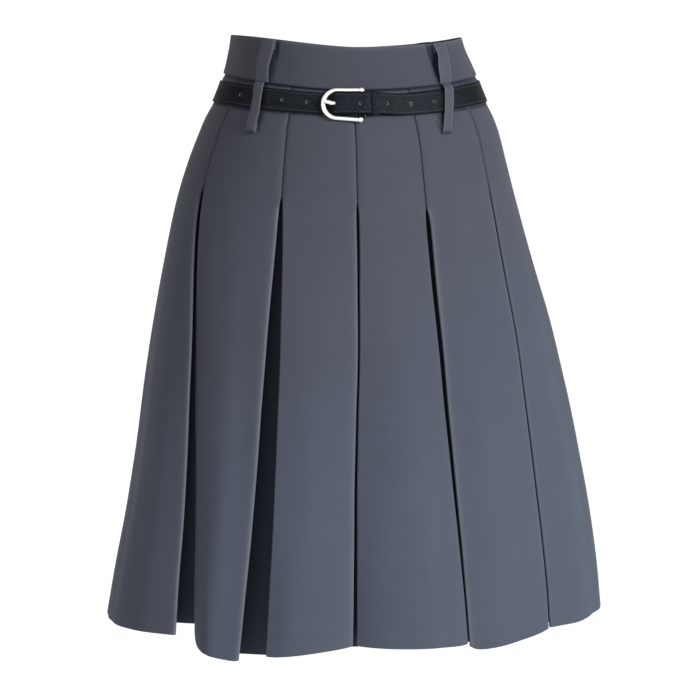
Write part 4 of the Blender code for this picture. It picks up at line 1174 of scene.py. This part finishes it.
def makeBandPiece(piece):
    gap = skirt["gap"] / 2
    height = band["height"]
    inner = band["outer"] - band["cloth"]
    radius = band["edgeRadius"]
    # the closed profile as (drop, out): down the face, under, up the inside and over
    faceDrops = np.concatenate([np.linspace(radius, height - 0.0030, 16), [height - 0.0020, height - radius]])
    profile = [(drop, band["outer"]) for drop in faceDrops]
    corner = [
        (height - radius + radius * math.sin(math.radians(turn)), radius * (1 - math.cos(math.radians(turn))))
        for turn in (30, 60, 90)
    ]
    profile += [(drop, band["outer"] - turnedIn) for drop, turnedIn in corner]
    profile += [(drop, inner + turnedIn) for drop, turnedIn in corner[1::-1]]
    profile += [(drop, inner) for drop in faceDrops[::-1][::2]]
    for turn in (30, 60, 90, 120, 150):
        turned = math.radians(turn)
        out = (band["outer"] + inner) / 2 - math.cos(turned) * band["cloth"] / 2
        profile.append((radius - radius * math.sin(turned), out))
    count = int(round((piece.endAngle - piece.startAngle) / band["columnStep"])) + 1
    share = np.linspace(0, 1, count)
    share = np.concatenate([[0.0, 0.0015], share[1:-1], [0.9985, 1.0]])
    columns, uv, shades = [], [], []
    for drop, out in profile:
        level = max(drop, 0.0)
        start = float(angleAfter(piece.startAngle, level, gap))
        end = float(angleAfter(piece.endAngle, level, -gap))
        angle = mix(start, end, share)
        sewn = np.exp(-((np.minimum(share, 1 - share) * 0.36 / 0.0012) ** 2)) * 0.0003
        sunk, shaded = bandHollow(angle, level)
        outs = out - bandWave(angle, level) - sewn - sunk
        # painted shade along the band's lower edge
        lowEdge = float(smooth((drop - (height - 0.0016)) / 0.0012))
        shaded = np.maximum(np.maximum(shaded, beneathCarriers(angle, level)), lowEdge)
        shades.append(shaded if out > inner else np.zeros_like(angle))
        columns.append(surfacePoints(angle, level, outs))
        uv.append(np.stack([np.radians(angle) * 0.11, np.full(len(angle), drop + out)], axis=-1))
    rings = np.array(columns).transpose(1, 0, 2)
    uv = np.array(uv).transpose(1, 0, 2)
    # painted highlight along the band's upper edge
    topEdge = np.array([math.exp(-max(drop, 0) / 0.0015) if out > 0 else 0.0 for drop, out in profile])
    marks = {"foldedEdge": np.tile(topEdge, len(share)), "paintedShade": np.array(shades).T.ravel()}
    faces = cappedRings(*rings.shape[:2])
    obj = newPiece(piece.name, rings.reshape(-1, 3), faces, bandCloth, uv.reshape(-1, 2), marks)
    handOver(obj, piece.node)


for piece in band["pieces"]:
    makeBandPiece(piece)
print("waistband made")


beltMiddle = (belt["top"] + belt["bottom"]) / 2
strapOut = skirt["cloth"] / 2 + skirt["gap"] + belt["facet"] + belt["strap"] / 2
strapLayer = belt["strap"] + skirt["gap"]
carrierOut = skirt["cloth"] / 2 + skirt["gap"] + 2 * carriers["facet"] + carriers["cloth"] / 2


def turnedEnd(drop, direction):
    radius = carriers["turnRadius"]
    return [
        (drop + direction * radius * math.sin(math.radians(turn)),
         carrierOut + radius * (1 - math.cos(math.radians(turn))))
        for turn in range(0, 181, 20)
    ]


def makeStrip(name, node, stations, startAngle, endAngle, width, sway):
    # stations are (drop, out) down the strip, and across it the edges sit a little lower than the middle
    stations = np.array(stations)
    low, high = stations[:, 0].min(), stations[:, 0].max()
    across = np.linspace(-1, 1, carriers["across"])
    across = np.sin(across * math.pi / 2 * 0.98) / math.sin(math.pi / 2 * 0.98)
    crown = 0.00022 * (1 - across**2) - 0.00016 * np.exp(-((across - 0.1) / 0.16) ** 2)
    middle = []
    uv = []
    walked = 0.0
    for i, (drop, out) in enumerate(stations):
        share = (drop - low) / (high - low)
        angle = mix(startAngle, endAngle, share)
        swing = sway * math.sin(2 * math.pi * min(share * 1.1, 1.0)) * math.sin(math.pi * share)
        wide = width * (1 + 0.06 * math.sin(math.pi * share * 2.3 + startAngle))
        angles = angleAfter(angle, drop, across * wide / 2 + swing)
        middle.append(surfacePoints(angles, drop, out + crown * (1 if out > carrierOut else 0)))
        if i:
            walked += float(np.hypot(drop - stations[i - 1, 0], out - stations[i - 1, 1]))
        uv.append(np.stack([across * width / 2, np.full(len(across), walked)], axis=-1))
    # painted shade at the strip's lower end
    atEnd = 0.9 * smooth((stations[:, 0] - carriers["lowerEnd"] + 0.0012) / 0.0008)
    half = carriers["cloth"] / 2 * np.sqrt(np.clip(1 - np.abs(across) ** 7, 0.12, 1.0))
    # painted highlight along both edges of the strip
    edge = np.tile(np.exp(-(1 - np.abs(across)) * width / 2 / 0.0008), (len(stations), 1))
    obj = shell(name, np.array(middle), half[None], half[None], carrierCloth, np.array(uv), {
        "foldedEdge": edge, "paintedShade": np.tile(atEnd[:, None], (1, len(across))),
    })
    handOver(obj, node)


def makeCarrier(row):
    shown = carrierOut + 2 * carriers["turnRadius"]
    seam = band["height"] - 2 * skirt["gap"]
    top = carriers["upperTop"]
    upper = [(top + carriers["turned"] * (1 - share), carrierOut) for share in (0.0, 0.4, 0.8)]
    upper += turnedEnd(top, -1)
    for share in np.linspace(0, 1, 24)[1:]:
        bow = row.bow * math.sin(math.pi * share)
        upper.append((mix(top, seam, share), mix(shown, carrierOut, share) + bow))
    makeStrip(
        row.name + "Upper", row.node + "_upper", upper, row.topAngle, row.seamAngle,
        carriers["upperWidth"], row.sway,
    )
    over = strapOut + strapLayer * (row.layers - 1) + belt["strap"] / 2 + skirt["gap"] + carriers["cloth"] / 2
    end = carriers["lowerEnd"]
    ease = 0.0002
    shape = curveThrough([
        (band["height"] + skirt["gap"], carrierOut),
        (belt["top"] - carriers["cloth"], over - ease),
        (belt["top"] + carriers["cloth"], over + ease),
        (beltMiddle, over + 2 * ease),
        (belt["bottom"] - carriers["cloth"], over + ease),
        (belt["bottom"] + 2 * carriers["cloth"], over - ease),
        (mix(belt["bottom"], end, 0.5), shown + 2 * ease),
        (end, shown),
    ], 5)
    lower = [tuple(place) for place in shape[:-1]] + turnedEnd(end, 1)[::-1]
    lower += [(end - carriers["turned"] * share, carrierOut) for share in (0.3, 0.65, 1.0)]
    makeStrip(
        row.name + "Lower", row.node + "_lower", lower, row.lowerAngle, row.endAngle,
        carriers["lowerWidth"], row.sway * 0.3,
    )


for carrier in carriers["rows"]:
    makeCarrier(carrier)


def makeTacks():
    # short bars of thread that hold the carriers' ends, at the waist edge and above the lower end
    lines = []
    for row in carriers["rows"]:
        shown = carrierOut + 2 * carriers["turnRadius"] + carriers["cloth"] / 2
        for angle, drop, half in (
            (row.topAngle, carriers["upperTop"] + 0.0035, 0.0052),
            (row.endAngle, carriers["lowerEnd"] - 0.0045, 0.0042),
        ):
            angles = angleAfter(angle, drop, np.linspace(-half, half, 12))
            for shift in (0.0, 0.0009):
                lines.append(surfacePoints(angles, drop + shift, np.full(12, shown + 0.0002)))
    values = {"Pitch": carriers["tackPitch"], "Size": carriers["tackSize"], "Material": clothThread}
    piece = grownPiece("carrierTacks", stitchRun, [line.tolist() for line in lines], values)
    handOver(piece)


makeTacks()
print("carriers made")


stationRow = namedtuple("stationRow", "along out")
# angle along the strap's way, and how far down it has slipped there
strapDrifts = (
    (8, 0.0), (15, 0.0012), (35, -0.0010), (62, -0.0020), (85, -0.0014), (120, 0.0), (250, 0.0),
    (297, -0.0013), (331, -0.0006), (345, 0.0), (368, 0.0), (377, 0.0018), (395, 0.0010),
)
# how full the strap is from its middle to its edge, with a dent along each stitch line
strapSection = (
    (0.0, 1.0), (0.3, 1.0), (0.6, 1.0), (0.76, 0.93), (0.79, 0.93), (0.88, 1.0), (0.95, 0.94), (0.985, 0.70),
    (1.0, 0.30),
)
strapLines = {
    "foldedEnd": (
        stationRow(0.030, 0.0017), stationRow(0.020, 0.0017), stationRow(0.012, 0.0019),
        stationRow(0.005, 0.0021),
    ),
    "overFoldedEnd": (
        stationRow(0.006, 0.0055), stationRow(0.012, 0.0050), stationRow(0.020, 0.0043),
        stationRow(0.031, 0.0037), stationRow(0.038, 0.0026), stationRow(0.046, strapOut),
    ),
    "tail": (
        stationRow(-0.062, strapOut), stationRow(-0.048, strapOut), stationRow(-0.0370, strapOut),
        stationRow(-0.0350, 0.0021), stationRow(-0.0325, 0.0046), stationRow(-0.0300, 0.0073),
        stationRow(-0.0270, 0.0086), stationRow(-0.021, 0.0089), stationRow(-0.010, 0.0089),
        stationRow(0.000, 0.0088), stationRow(0.006, 0.0077), stationRow(0.012, 0.0071),
        stationRow(0.020, 0.0063), stationRow(0.031, 0.0057), stationRow(0.039, 0.0046),
        stationRow(0.048, strapOut + strapLayer),
    ),
}


def mirrored(rows):
    # rows of (place, fullness) from the middle to one edge, as two arrays from edge to edge
    half = np.array(rows)
    return np.concatenate([half[:0:-1] * (-1, 1), half]).T


def strapDrift(angle):
    # how far down the strap has slipped along its way
    return np.interp(angle, *np.array(strapDrifts).T)


def besideBar(along):
    return float(angleAfter(belt["barAngle"], beltMiddle, along))


def strapRoute():
    # (angle, out) from the folded end, round the bar and once round the figure, to the tail's end
    route = [(besideBar(row.along), row.out) for row in strapLines["foldedEnd"]]
    wrap = belt["barRadius"] + skirt["gap"] + belt["strap"] / 2
    for turn in range(0, 181, 36):
        along = -wrap * math.sin(math.radians(turn))
        route.append((besideBar(along), belt["barOut"] - wrap * math.cos(math.radians(turn))))
    route += [(besideBar(row.along), row.out) for row in strapLines["overFoldedEnd"]]
    start = besideBar(strapLines["overFoldedEnd"][-1].along)
    end = 360 + besideBar(strapLines["tail"][0].along)
    steps = round((end - start) / 4.5)
    route += [(mix(start, end, i / steps), strapOut) for i in range(1, steps)]
    route += [(360 + besideBar(row.along), row.out) for row in strapLines["tail"]]
    start = 360 + besideBar(strapLines["tail"][-1].along)
    end = 360 + belt["tailEnd"]
    route += [(mix(start, end, i / 4), strapLines["tail"][-1].out) for i in range(1, 5)]
    return curveThrough(route, 5)


def strapOutAt(along):
    rows = strapLines["tail"]
    return float(np.interp(along, [row.along for row in rows], [row.out for row in rows]))


def makeHoleCutter():
    # rods through the strap's outermost layer, and a longer one for the prong's slot
    parts = []
    places = []
    for number in range(-belt["holesBehind"], belt["holesAhead"] + 1):
        along = belt["prongHole"] + number * belt["holePitch"]
        out = strapOutAt(along)
        drop = beltMiddle + float(strapDrift(360 + besideBar(along)))
        centre = surfacePoints(besideBar(along), drop, out)
        ahead = unit(surfacePoints(besideBar(along + 0.001), drop, strapOutAt(along + 0.001)) - centre)
        down = downAt(besideBar(along), beltMiddle)
        down = unit(down - ahead * (down @ ahead))
        outward = np.cross(down, ahead)
        half = belt["strap"] / 2 + skirt["gap"] / 2
        stretch = 1.5 if number == 0 else 1.0
        turns = np.arange(24) * math.pi / 12
        ring = ahead * np.cos(turns)[:, None] * stretch + down * np.sin(turns)[:, None]
        ring = ring * belt["holeRadius"]
        points = np.concatenate([centre - outward * half + ring, centre + outward * half + ring])
        parts.append((points, cappedRings(2, 24)))
        if number:
            places.append((centre + outward * (belt["strap"] / 2 - 0.0002), outward))
    points, faces = joinedParts(parts)
    return newPiece("holeCutter", points, faces, leather), places


def darkAtSides(angle):
    # painted shade where the strap turns away from the light at the hips
    fromFront = np.abs((angle + 180) % 360 - 180)
    return belt["darkness"] * np.exp(-(((fromFront - belt["darkestAt"]) / belt["darkReach"]) ** 6))


def makeStrap(route, walked):
    depth, fullness = mirrored(strapSection)
    halfWidth = (belt["bottom"] - belt["top"]) / 2
    middle, uv, shade = [], [], []
    for across in depth:
        drop = mix(belt["top"], belt["bottom"], (across + 1) / 2)
        slipped = drop + strapDrift(route[:, 0])
        places = zip(route[:, 0], slipped, route[:, 1])
        middle.append(np.array([surfacePoints(angle, down, out) for angle, down, out in places]))
        uv.append(np.stack([walked, np.full(len(walked), across * halfWidth)], axis=-1))
        # painted shade beneath the carriers and at the hips
        shade.append(np.maximum(beneathCarriers(route[:, 0], drop), darkAtSides(route[:, 0])))
    # the tail's last columns are drawn back towards the edges, for a blunt point
    middle = np.array(middle)
    for back in range(5):
        pull = np.abs(depth) ** 3 * belt["tailPoint"] * (1 - back / 5)
        middle[:, -1 - back] -= unit(middle[:, -1] - middle[:, -2]) * pull[:, None]
    half = belt["strap"] / 2 * fullness[:, None]
    edge = np.tile(np.exp(-(1 - np.abs(depth)) * halfWidth / 0.0006)[:, None], (1, len(route)))
    marks = {"foldedEdge": edge, "paintedShade": np.array(shade)}
    obj = shell("beltStrap", middle, half, half, leather, np.array(uv), marks)
    cutter, places = makeHoleCutter()
    cut = obj.modifiers.new("holes", "BOOLEAN")
    cut.operation = "DIFFERENCE"
    cut.solver = "EXACT"
    cut.object = cutter
    graph = bpy.context.evaluated_depsgraph_get()
    mesh = bpy.data.meshes.new_from_object(obj.evaluated_get(graph))
    obj.modifiers.clear()
    obj.data = mesh
    mesh.set_sharp_from_angle(angle=creaseAngle)
    bpy.data.objects.remove(cutter)
    handOver(obj, "belt_strap")
    return places


def makeHoleRims(places):
    # light rims: the raw leather edge, lightened as a painted glint
    rims = grownPiece(
        "holeRims", ringSet, [[place.tolist() for place, _ in places]],
        {"Radius": belt["holeRadius"] + 0.00005, "Thickness": 0.00022, "Material": rimEdgeAndGlint},
        facing=[outward for _, outward in places],
    )
    handOver(rims)


def makeBeltStitches(route, walked):
    shownFrom = int(np.argmax(walked > belt["stitchesFrom"]))
    lines = []
    for inset in (belt["top"] + belt["stitchInset"], belt["bottom"] - belt["stitchInset"]):
        lines.append([
            surfacePoints(angle, inset + strapDrift(angle), out + belt["strap"] / 2 * 0.95).tolist()
            for angle, out in route[shownFrom:-5]
        ])
    stitches = grownPiece("beltStitches", stitchRun, lines, {
        "Pitch": belt["stitchPitch"], "Size": belt["stitchSize"], "Material": beltThread,
    })
    handOver(stitches)


strapWay = strapRoute()
strapWalk = walkedAlong(surfacePoints(strapWay[:, 0], beltMiddle, strapWay[:, 1]))
makeHoleRims(makeStrap(strapWay, strapWalk))
makeBeltStitches(strapWay, strapWalk)


keeper = {
    "along": 0.009,
    "width": 0.006,
    "inner": 0.0036,
    "outer": 0.0093,
    "edgeGap": 0.0008,
    "corner": 0.0009,
    "cloth": 0.0008,
    "section": ((0.0, 1.0), (0.4, 1.0), (0.8, 1.0), (0.93, 0.8), (1.0, 0.35)),
}


def makeKeeper():
    high = belt["top"] - keeper["edgeGap"]
    low = belt["bottom"] + keeper["edgeGap"]
    inner, outer, corner = keeper["inner"], keeper["outer"], keeper["corner"]
    # walk round the loop in (drop, out): up the inside, over, down the face and back under
    stations = []
    for centreDrop, centreOut, start in (
        (high + corner, inner + corner, 270), (high + corner, outer - corner, 180),
        (low - corner, outer - corner, 90), (low - corner, inner + corner, 0),
    ):
        for turn in (0, 22.5, 45, 67.5, 90):
            turned = math.radians(start - turn)
            stations.append((centreDrop + corner * math.cos(turned), centreOut + corner * math.sin(turned)))
    across, fullness = mirrored(keeper["section"])
    angles = angleAfter(belt["barAngle"], beltMiddle, keeper["along"] + across * keeper["width"] / 2)
    level = np.ones(len(across))
    middle = np.array([surfacePoints(angles, drop, out * level) for drop, out in stations + stations[:1]])
    # rings across the strip, one for each station
    down = np.roll(middle[:-1], -1, axis=0) - np.roll(middle[:-1], 1, axis=0)
    along = np.gradient(middle[:-1], axis=1)
    normal = unit(np.cross(down, along))
    half = (keeper["cloth"] / 2 * fullness)[None, :, None]
    face = middle[:-1] + normal * half
    back = middle[:-1] - normal * half
    rings = np.concatenate([face, back[:, ::-1]], axis=1)
    count, size = rings.shape[:2]
    uv = np.stack(np.meshgrid(np.arange(size) * 0.0006, np.arange(count) * 0.002), axis=-1)
    faces = ringFaces(count, size, closed=True)
    obj = newPiece("beltKeeper", rings.reshape(-1, 3), faces, leather, uv.reshape(-1, 2))
    handOver(obj, "belt_keeper")


makeKeeper()


buckle = {
    "length": 0.0418,
    "radius": 0.0025,
    "knob": 0.0034,
    "knobsAt": 0.0040,  # how far before the bar its arms end in knobs
    "ringsAt": 0.0042,  # from each knob to the flat ring on its arm
    "ring": 0.0029,
    "arm": ((0.008, 0.0), (0.016, 0.0004)),  # distance from the bar, and how far the arm leans in there
    "halfAtBar": 0.0147,
    "halfAtBend": 0.0139,
    "endOut": 0.0056,
    "prong": 0.0010,
    "prongShown": 0.0016,  # the prong's end is thicker than the part under the strap
    "hangs": 4.2,  # degrees it hangs askew on the strap
}


def buckleAxes():
    bar = surfacePoints(belt["barAngle"], beltMiddle, belt["barOut"])
    end = surfacePoints(besideBar(-buckle["length"]), beltMiddle, buckle["endOut"])
    top = surfacePoints(belt["barAngle"], belt["top"], belt["barOut"])
    bottom = surfacePoints(belt["barAngle"], belt["bottom"], belt["barOut"])
    down = unit(bottom - top)
    reach = unit(end - bar - down * ((end - bar) @ down))
    askew = math.radians(buckle["hangs"])
    turned = reach * math.cos(askew) - down * math.sin(askew)
    down = down * math.cos(askew) + reach * math.sin(askew)
    bar = bar - (turned - reach) * buckle["length"] / 2
    return bar, turned, down, np.cross(turned, down)


def ballMesh(centre, axis, radius, stretch=1.0):
    # a turned knob along an axis, as points and faces
    rings = 12
    sides = 20
    other = unit(np.cross(axis, [0.3, 0.2, 0.9]))
    third = np.cross(axis, other)
    turns = np.arange(sides) * 2 * math.pi / sides
    points = []
    for i in range(1, rings):
        latitude = math.pi * i / rings
        height = -math.cos(latitude) * radius * stretch
        ring = (other * np.cos(turns)[:, None] + third * np.sin(turns)[:, None]) * math.sin(latitude) * radius
        points.append(centre + axis * height + ring)
    points = np.concatenate(points + [[centre - axis * radius * stretch], [centre + axis * radius * stretch]])
    faces = ringFaces(rings - 1, sides)
    low = len(points) - 2
    for j in range(sides):
        k = (j + 1) % sides
        faces.append((low, k, j))
        faces.append((low + 1, (rings - 2) * sides + j, (rings - 2) * sides + k))
    return points, faces


def makeFrame(bar, reach, down, rise):
    half, bendHalf = buckle["halfAtBar"], buckle["halfAtBend"]
    bend = buckle["length"] - bendHalf
    arm = [(buckle["knobsAt"], half)] + [(along, half - inwards) for along, inwards in buckle["arm"]]
    outline = list(arm)
    for turn in np.arange(90, -91, -9.0):
        turned = math.radians(turn)
        outline.append((bend + bendHalf * math.cos(turned), bendHalf * math.sin(turned)))
    outline += [(along, -across) for along, across in arm[::-1]]
    flat = curveThrough(outline, 3)
    path = bar + flat[:, :1] * reach + flat[:, 1:] * down
    parts = [tubeMesh(path, np.full(len(path), buckle["radius"]), rise, 20, 0.92)]
    for side in (-1, 1):
        knob = bar + side * half * down + reach * buckle["knobsAt"]
        parts.append(ballMesh(knob, reach, buckle["knob"], 0.95))
        parts.append(ballMesh(knob + reach * buckle["ringsAt"], reach, buckle["ring"], 0.40))
    bright = sum(len(faces) for _, faces in parts)
    ends = [surfacePoints(belt["barAngle"], beltMiddle + side * half, belt["barOut"]) for side in (-1, 1)]
    rod = mix(ends[0], ends[1], np.linspace(0, 1, 9)[:, None])
    parts.append(tubeMesh(rod, np.full(9, belt["barRadius"]), rise, 14, 1.0))
    points, faces = joinedParts(parts)
    obj = newPiece("buckleFrame", points, faces, buckleMetal)
    # painted shade: the bar takes the dark metal
    obj.data.materials.append(shadedBar)
    for face in obj.data.polygons[bright:]:
        face.material_index = 1
    handOver(obj, "buckle_frame")


def makeProng(bar, reach, down, rise):
    eye = belt["barRadius"] + skirt["gap"] + 0.0009
    onFrame = buckle["radius"] + skirt["gap"] + buckle["prongShown"]
    # (reach, rise, down) from the prong's tip to its eye round the bar
    places = [
        (buckle["length"] + 0.0006, onFrame - 0.0006, -0.0022),
        (buckle["length"] - 0.001, onFrame - 0.0002, -0.0019),
        (buckle["length"] * 0.8, onFrame - 0.0010, -0.0004),
        (buckle["length"] * 0.5, mix(eye, onFrame, 0.4), 0.0004),
        (buckle["length"] * 0.15, eye, 0.0),
    ]
    for turn in np.arange(0, 251, 25.0):
        places.append((-eye * math.sin(math.radians(turn)), eye * math.cos(math.radians(turn)), 0.0))
    flat = curveThrough(places, 4)
    path = bar + flat[:, :1] * reach + flat[:, 1:2] * rise + flat[:, 2:] * down
    shown = smooth((flat[:, 0] - buckle["length"] * 0.62) / 0.006)
    radii = mix(buckle["prong"], buckle["prongShown"], shown)
    radii[:5] *= np.array([0.45, 0.76, 0.92, 0.98, 1.0])
    points, faces = tubeMesh(path, radii, down, 14, 1.25)
    obj = newPiece("buckleProng", points, faces, buckleMetal)
    handOver(obj, "buckle_prong")


buckleSet = buckleAxes()
makeFrame(*buckleSet)
makeProng(*buckleSet)
print("belt made")


zipSizes = {
    "tapeWidth": 0.024,
    "tape": 0.0010,
    "tapeTop": 0.002,
    "tapeBottom": 0.205,
    "coilBeside": 0.0014,  # from the tape's middle to each row of the coil
    "toothPitch": 0.0013,
    "toothSize": (0.0008, 0.0030, 0.0013),
}


def tapeRows():
    # (drop, out) down the tape, which steps out below the waistband
    behindBand = -(band["cloth"] - skirt["cloth"] / 2 + skirt["gap"] + zipSizes["tape"] / 2)
    behindSkirt = -(skirt["cloth"] / 2 + skirt["gap"] + zipSizes["tape"] / 2)
    rows = [(drop, behindBand) for drop in np.linspace(zipSizes["tapeTop"], band["height"], 12)]
    rows += [(band["height"] + 0.001, behindBand), (band["height"] + 0.006, behindSkirt)]
    return rows + [(drop, behindSkirt) for drop in np.linspace(0.054, zipSizes["tapeBottom"], 34)]


def makeZipTape(rows):
    across = np.linspace(-1, 1, 15)
    raised = 0.0001 * (np.abs(across) > 0.9)
    middle = []
    uv = []
    for drop, out in rows:
        angles = angleAfter(180.0, drop, across * zipSizes["tapeWidth"] / 2)
        middle.append(surfacePoints(angles, drop, np.full(len(across), out)))
        uv.append(np.stack([across * zipSizes["tapeWidth"] / 2, np.full(len(across), drop)], axis=-1))
    half = zipSizes["tape"] / 2 - 0.0001 + raised
    obj = shell("zipTape", np.array(middle), half[None], half[None], tapeCloth, np.array(uv))
    handOver(obj, "zip_tape")


def makeZipCoil(rows):
    # two rows of coil, one on each half of the tape, on the side towards the figure
    lines = []
    for side in (-1, 1):
        points = []
        for drop, out in rows[2:-2]:
            angle = float(angleAfter(180.0, drop, side * zipSizes["coilBeside"]))
            points.append(surfacePoints(angle, drop, out - zipSizes["tape"] / 2 - 0.0005).tolist())
        lines.append(points)
    teeth = grownPiece("zipCoil", stitchRun, lines, {
        "Pitch": zipSizes["toothPitch"], "Size": zipSizes["toothSize"], "Facing": (0.0, 1.0, 0.0),
        "Material": coil,
    })
    handOver(teeth)


def refinedCopy(name, node, body, material, bevel):
    # a copy of a solid's mesh with its points merged and its edges eased
    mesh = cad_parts[node].data.copy()
    mesh.name = name
    shape = bmesh.new()
    shape.from_mesh(mesh)
    bmesh.ops.remove_doubles(shape, verts=shape.verts, dist=0.000002)
    bmesh.ops.dissolve_limit(shape, angle_limit=math.radians(3), verts=shape.verts, edges=shape.edges)
    shape.to_mesh(mesh)
    shape.free()
    mesh.materials.clear()
    mesh.materials.append(material)
    obj = bpy.data.objects.new(name, mesh)
    bpy.context.scene.collection.objects.link(obj)
    eased = obj.modifiers.new("eased edges", "BEVEL")
    eased.width = bevel
    eased.segments = 3
    eased.limit_method = "ANGLE"
    eased.angle_limit = math.radians(35)
    mesh.shade_smooth()
    mesh.set_sharp_from_angle(angle=math.radians(50))
    handOver(obj, node, body)


makeZipTape(tapeRows())
makeZipCoil(tapeRows())
refinedCopy("zipSlider", "zip_slider", "root", zipMetal, 0.00025)
refinedCopy("zipPull", "zip_pull", "pull", zipMetal, 0.0002)
print("zip made")


def makeHemPricks():
    # the hem's blind stitches show as small pricks along the panels
    lines = []
    for piece in skirtPieces:
        row, _ = clothRow(piece, skirt["hemLine"])
        inward = row["inward"] + softFolds(row["angle"], skirt["hemLine"])
        points = levelPoints(row["angle"], skirt["hemLine"], inward - skirt["cloth"] / 2)
        points[:, 2] -= row["hemDrop"] * hanging(skirt["hemLine"]) ** 2
        shown = row["panel"] > 0.5
        start = 0
        while start < len(shown):
            if not shown[start]:
                start += 1
                continue
            end = start
            while end < len(shown) and shown[end]:
                end += 1
            lines.append(points[start:end].tolist())
            start = end
    piece = grownPiece("hemPricks", stitchRun, lines, {
        "Pitch": skirt["prickPitch"], "Size": skirt["prickSize"], "Material": clothThread,
    })
    handOver(piece)


makeHemPricks()
print("hem stitched")


lightRow = namedtuple("lightRow", "name comesFrom strength angle colour")
studio = {
    "floorHeight": -1.0,
    "floorRadius": 60.0,
    "floorColour": (0.95, 0.95, 0.95),
    "floorGlow": 0.28,
    "ambient": 0.31,
    "lights": (
        lightRow("key", (0.98, -1.0, 0.42), 4.78, 16.0, (1.0, 1.0, 1.0)),
        lightRow("fill", (-0.42, -1.0, 0.10), 1.42, 60.0, (1.0, 0.86, 0.76)),
    ),
}
view = {
    "azimuth": -5.0,  # a little to the wearer's right
    "distance": 3.6,
    "height": 0.223,
    "aimHeight": -0.28,
    "focus": 3491.36,  # pixels, in a picture of the size below
    "size": 700,
    "centre": (346.12, 327.13),
    "sensor": 36.0,
}


def makeFloor():
    mesh = bpy.data.meshes.new("floor")
    turns = np.arange(64) * 2 * math.pi / 64
    radius = studio["floorRadius"]
    ring = [(radius * math.cos(turn), radius * math.sin(turn), studio["floorHeight"]) for turn in turns]
    mesh.from_pydata(ring, [], [tuple(range(64))])
    material, _, shader = newMaterial("pale floor")
    shader.inputs["Base Color"].default_value = (*studio["floorColour"], 1.0)
    shader.inputs["Roughness"].default_value = 0.9
    shader.inputs["Specular IOR Level"].default_value = 0.1
    shader.inputs["Emission Color"].default_value = (1.0, 1.0, 1.0, 1.0)
    shader.inputs["Emission Strength"].default_value = studio["floorGlow"]
    mesh.materials.append(material)
    floor = bpy.data.objects.new("floor", mesh)
    bpy.context.scene.collection.objects.link(floor)


def makeSun(row):
    light = bpy.data.lights.new(row.name, "SUN")
    light.energy = row.strength
    light.angle = math.radians(row.angle)
    light.color = row.colour
    lamp = bpy.data.objects.new(row.name, light)
    lamp.rotation_euler = Vector(row.comesFrom).to_track_quat("Z", "Y").to_euler()
    bpy.context.scene.collection.objects.link(lamp)


def makeWorld():
    # the camera and mirror-like metal see plain white, and the cloth is lit more softly
    world = bpy.data.worlds.new("studio")
    bpy.context.scene.world = world
    world.use_nodes = True
    tree = world.node_tree
    background = tree.nodes["Background"]
    background.inputs["Color"].default_value = (1.0, 1.0, 1.0, 1.0)
    path = tree.nodes.new("ShaderNodeLightPath")
    seen = addMath(tree, "MAXIMUM", path.outputs["Is Camera Ray"], path.outputs["Is Glossy Ray"])
    link(tree, ranged(tree, seen, 0.0, 1.0, studio["ambient"], 1.0), background.inputs["Strength"])


def makeCamera():
    # stands in front, just above the waist
    azimuth = math.radians(view["azimuth"])
    distance, size = view["distance"], view["size"]
    place = Vector((distance * math.sin(azimuth), -distance * math.cos(azimuth), view["height"]))
    aim = Vector((0.0, 0.0, view["aimHeight"]))
    data = bpy.data.cameras.new("camera")
    data.sensor_width = view["sensor"]
    data.lens = view["focus"] / size * view["sensor"]
    data.shift_x = (size / 2 - view["centre"][0]) / size
    data.shift_y = (view["centre"][1] - size / 2) / size
    data.clip_start = 0.1
    data.clip_end = 200.0
    camera = bpy.data.objects.new("camera", data)
    camera.location = place
    camera.rotation_euler = (aim - place).to_track_quat("-Z", "Y").to_euler()
    bpy.context.scene.collection.objects.link(camera)
    bpy.context.scene.camera = camera


makeFloor()
for lamp in studio["lights"]:
    makeSun(lamp)
makeWorld()
makeCamera()
bpy.context.scene.view_settings.view_transform = "Standard"
print("studio made")
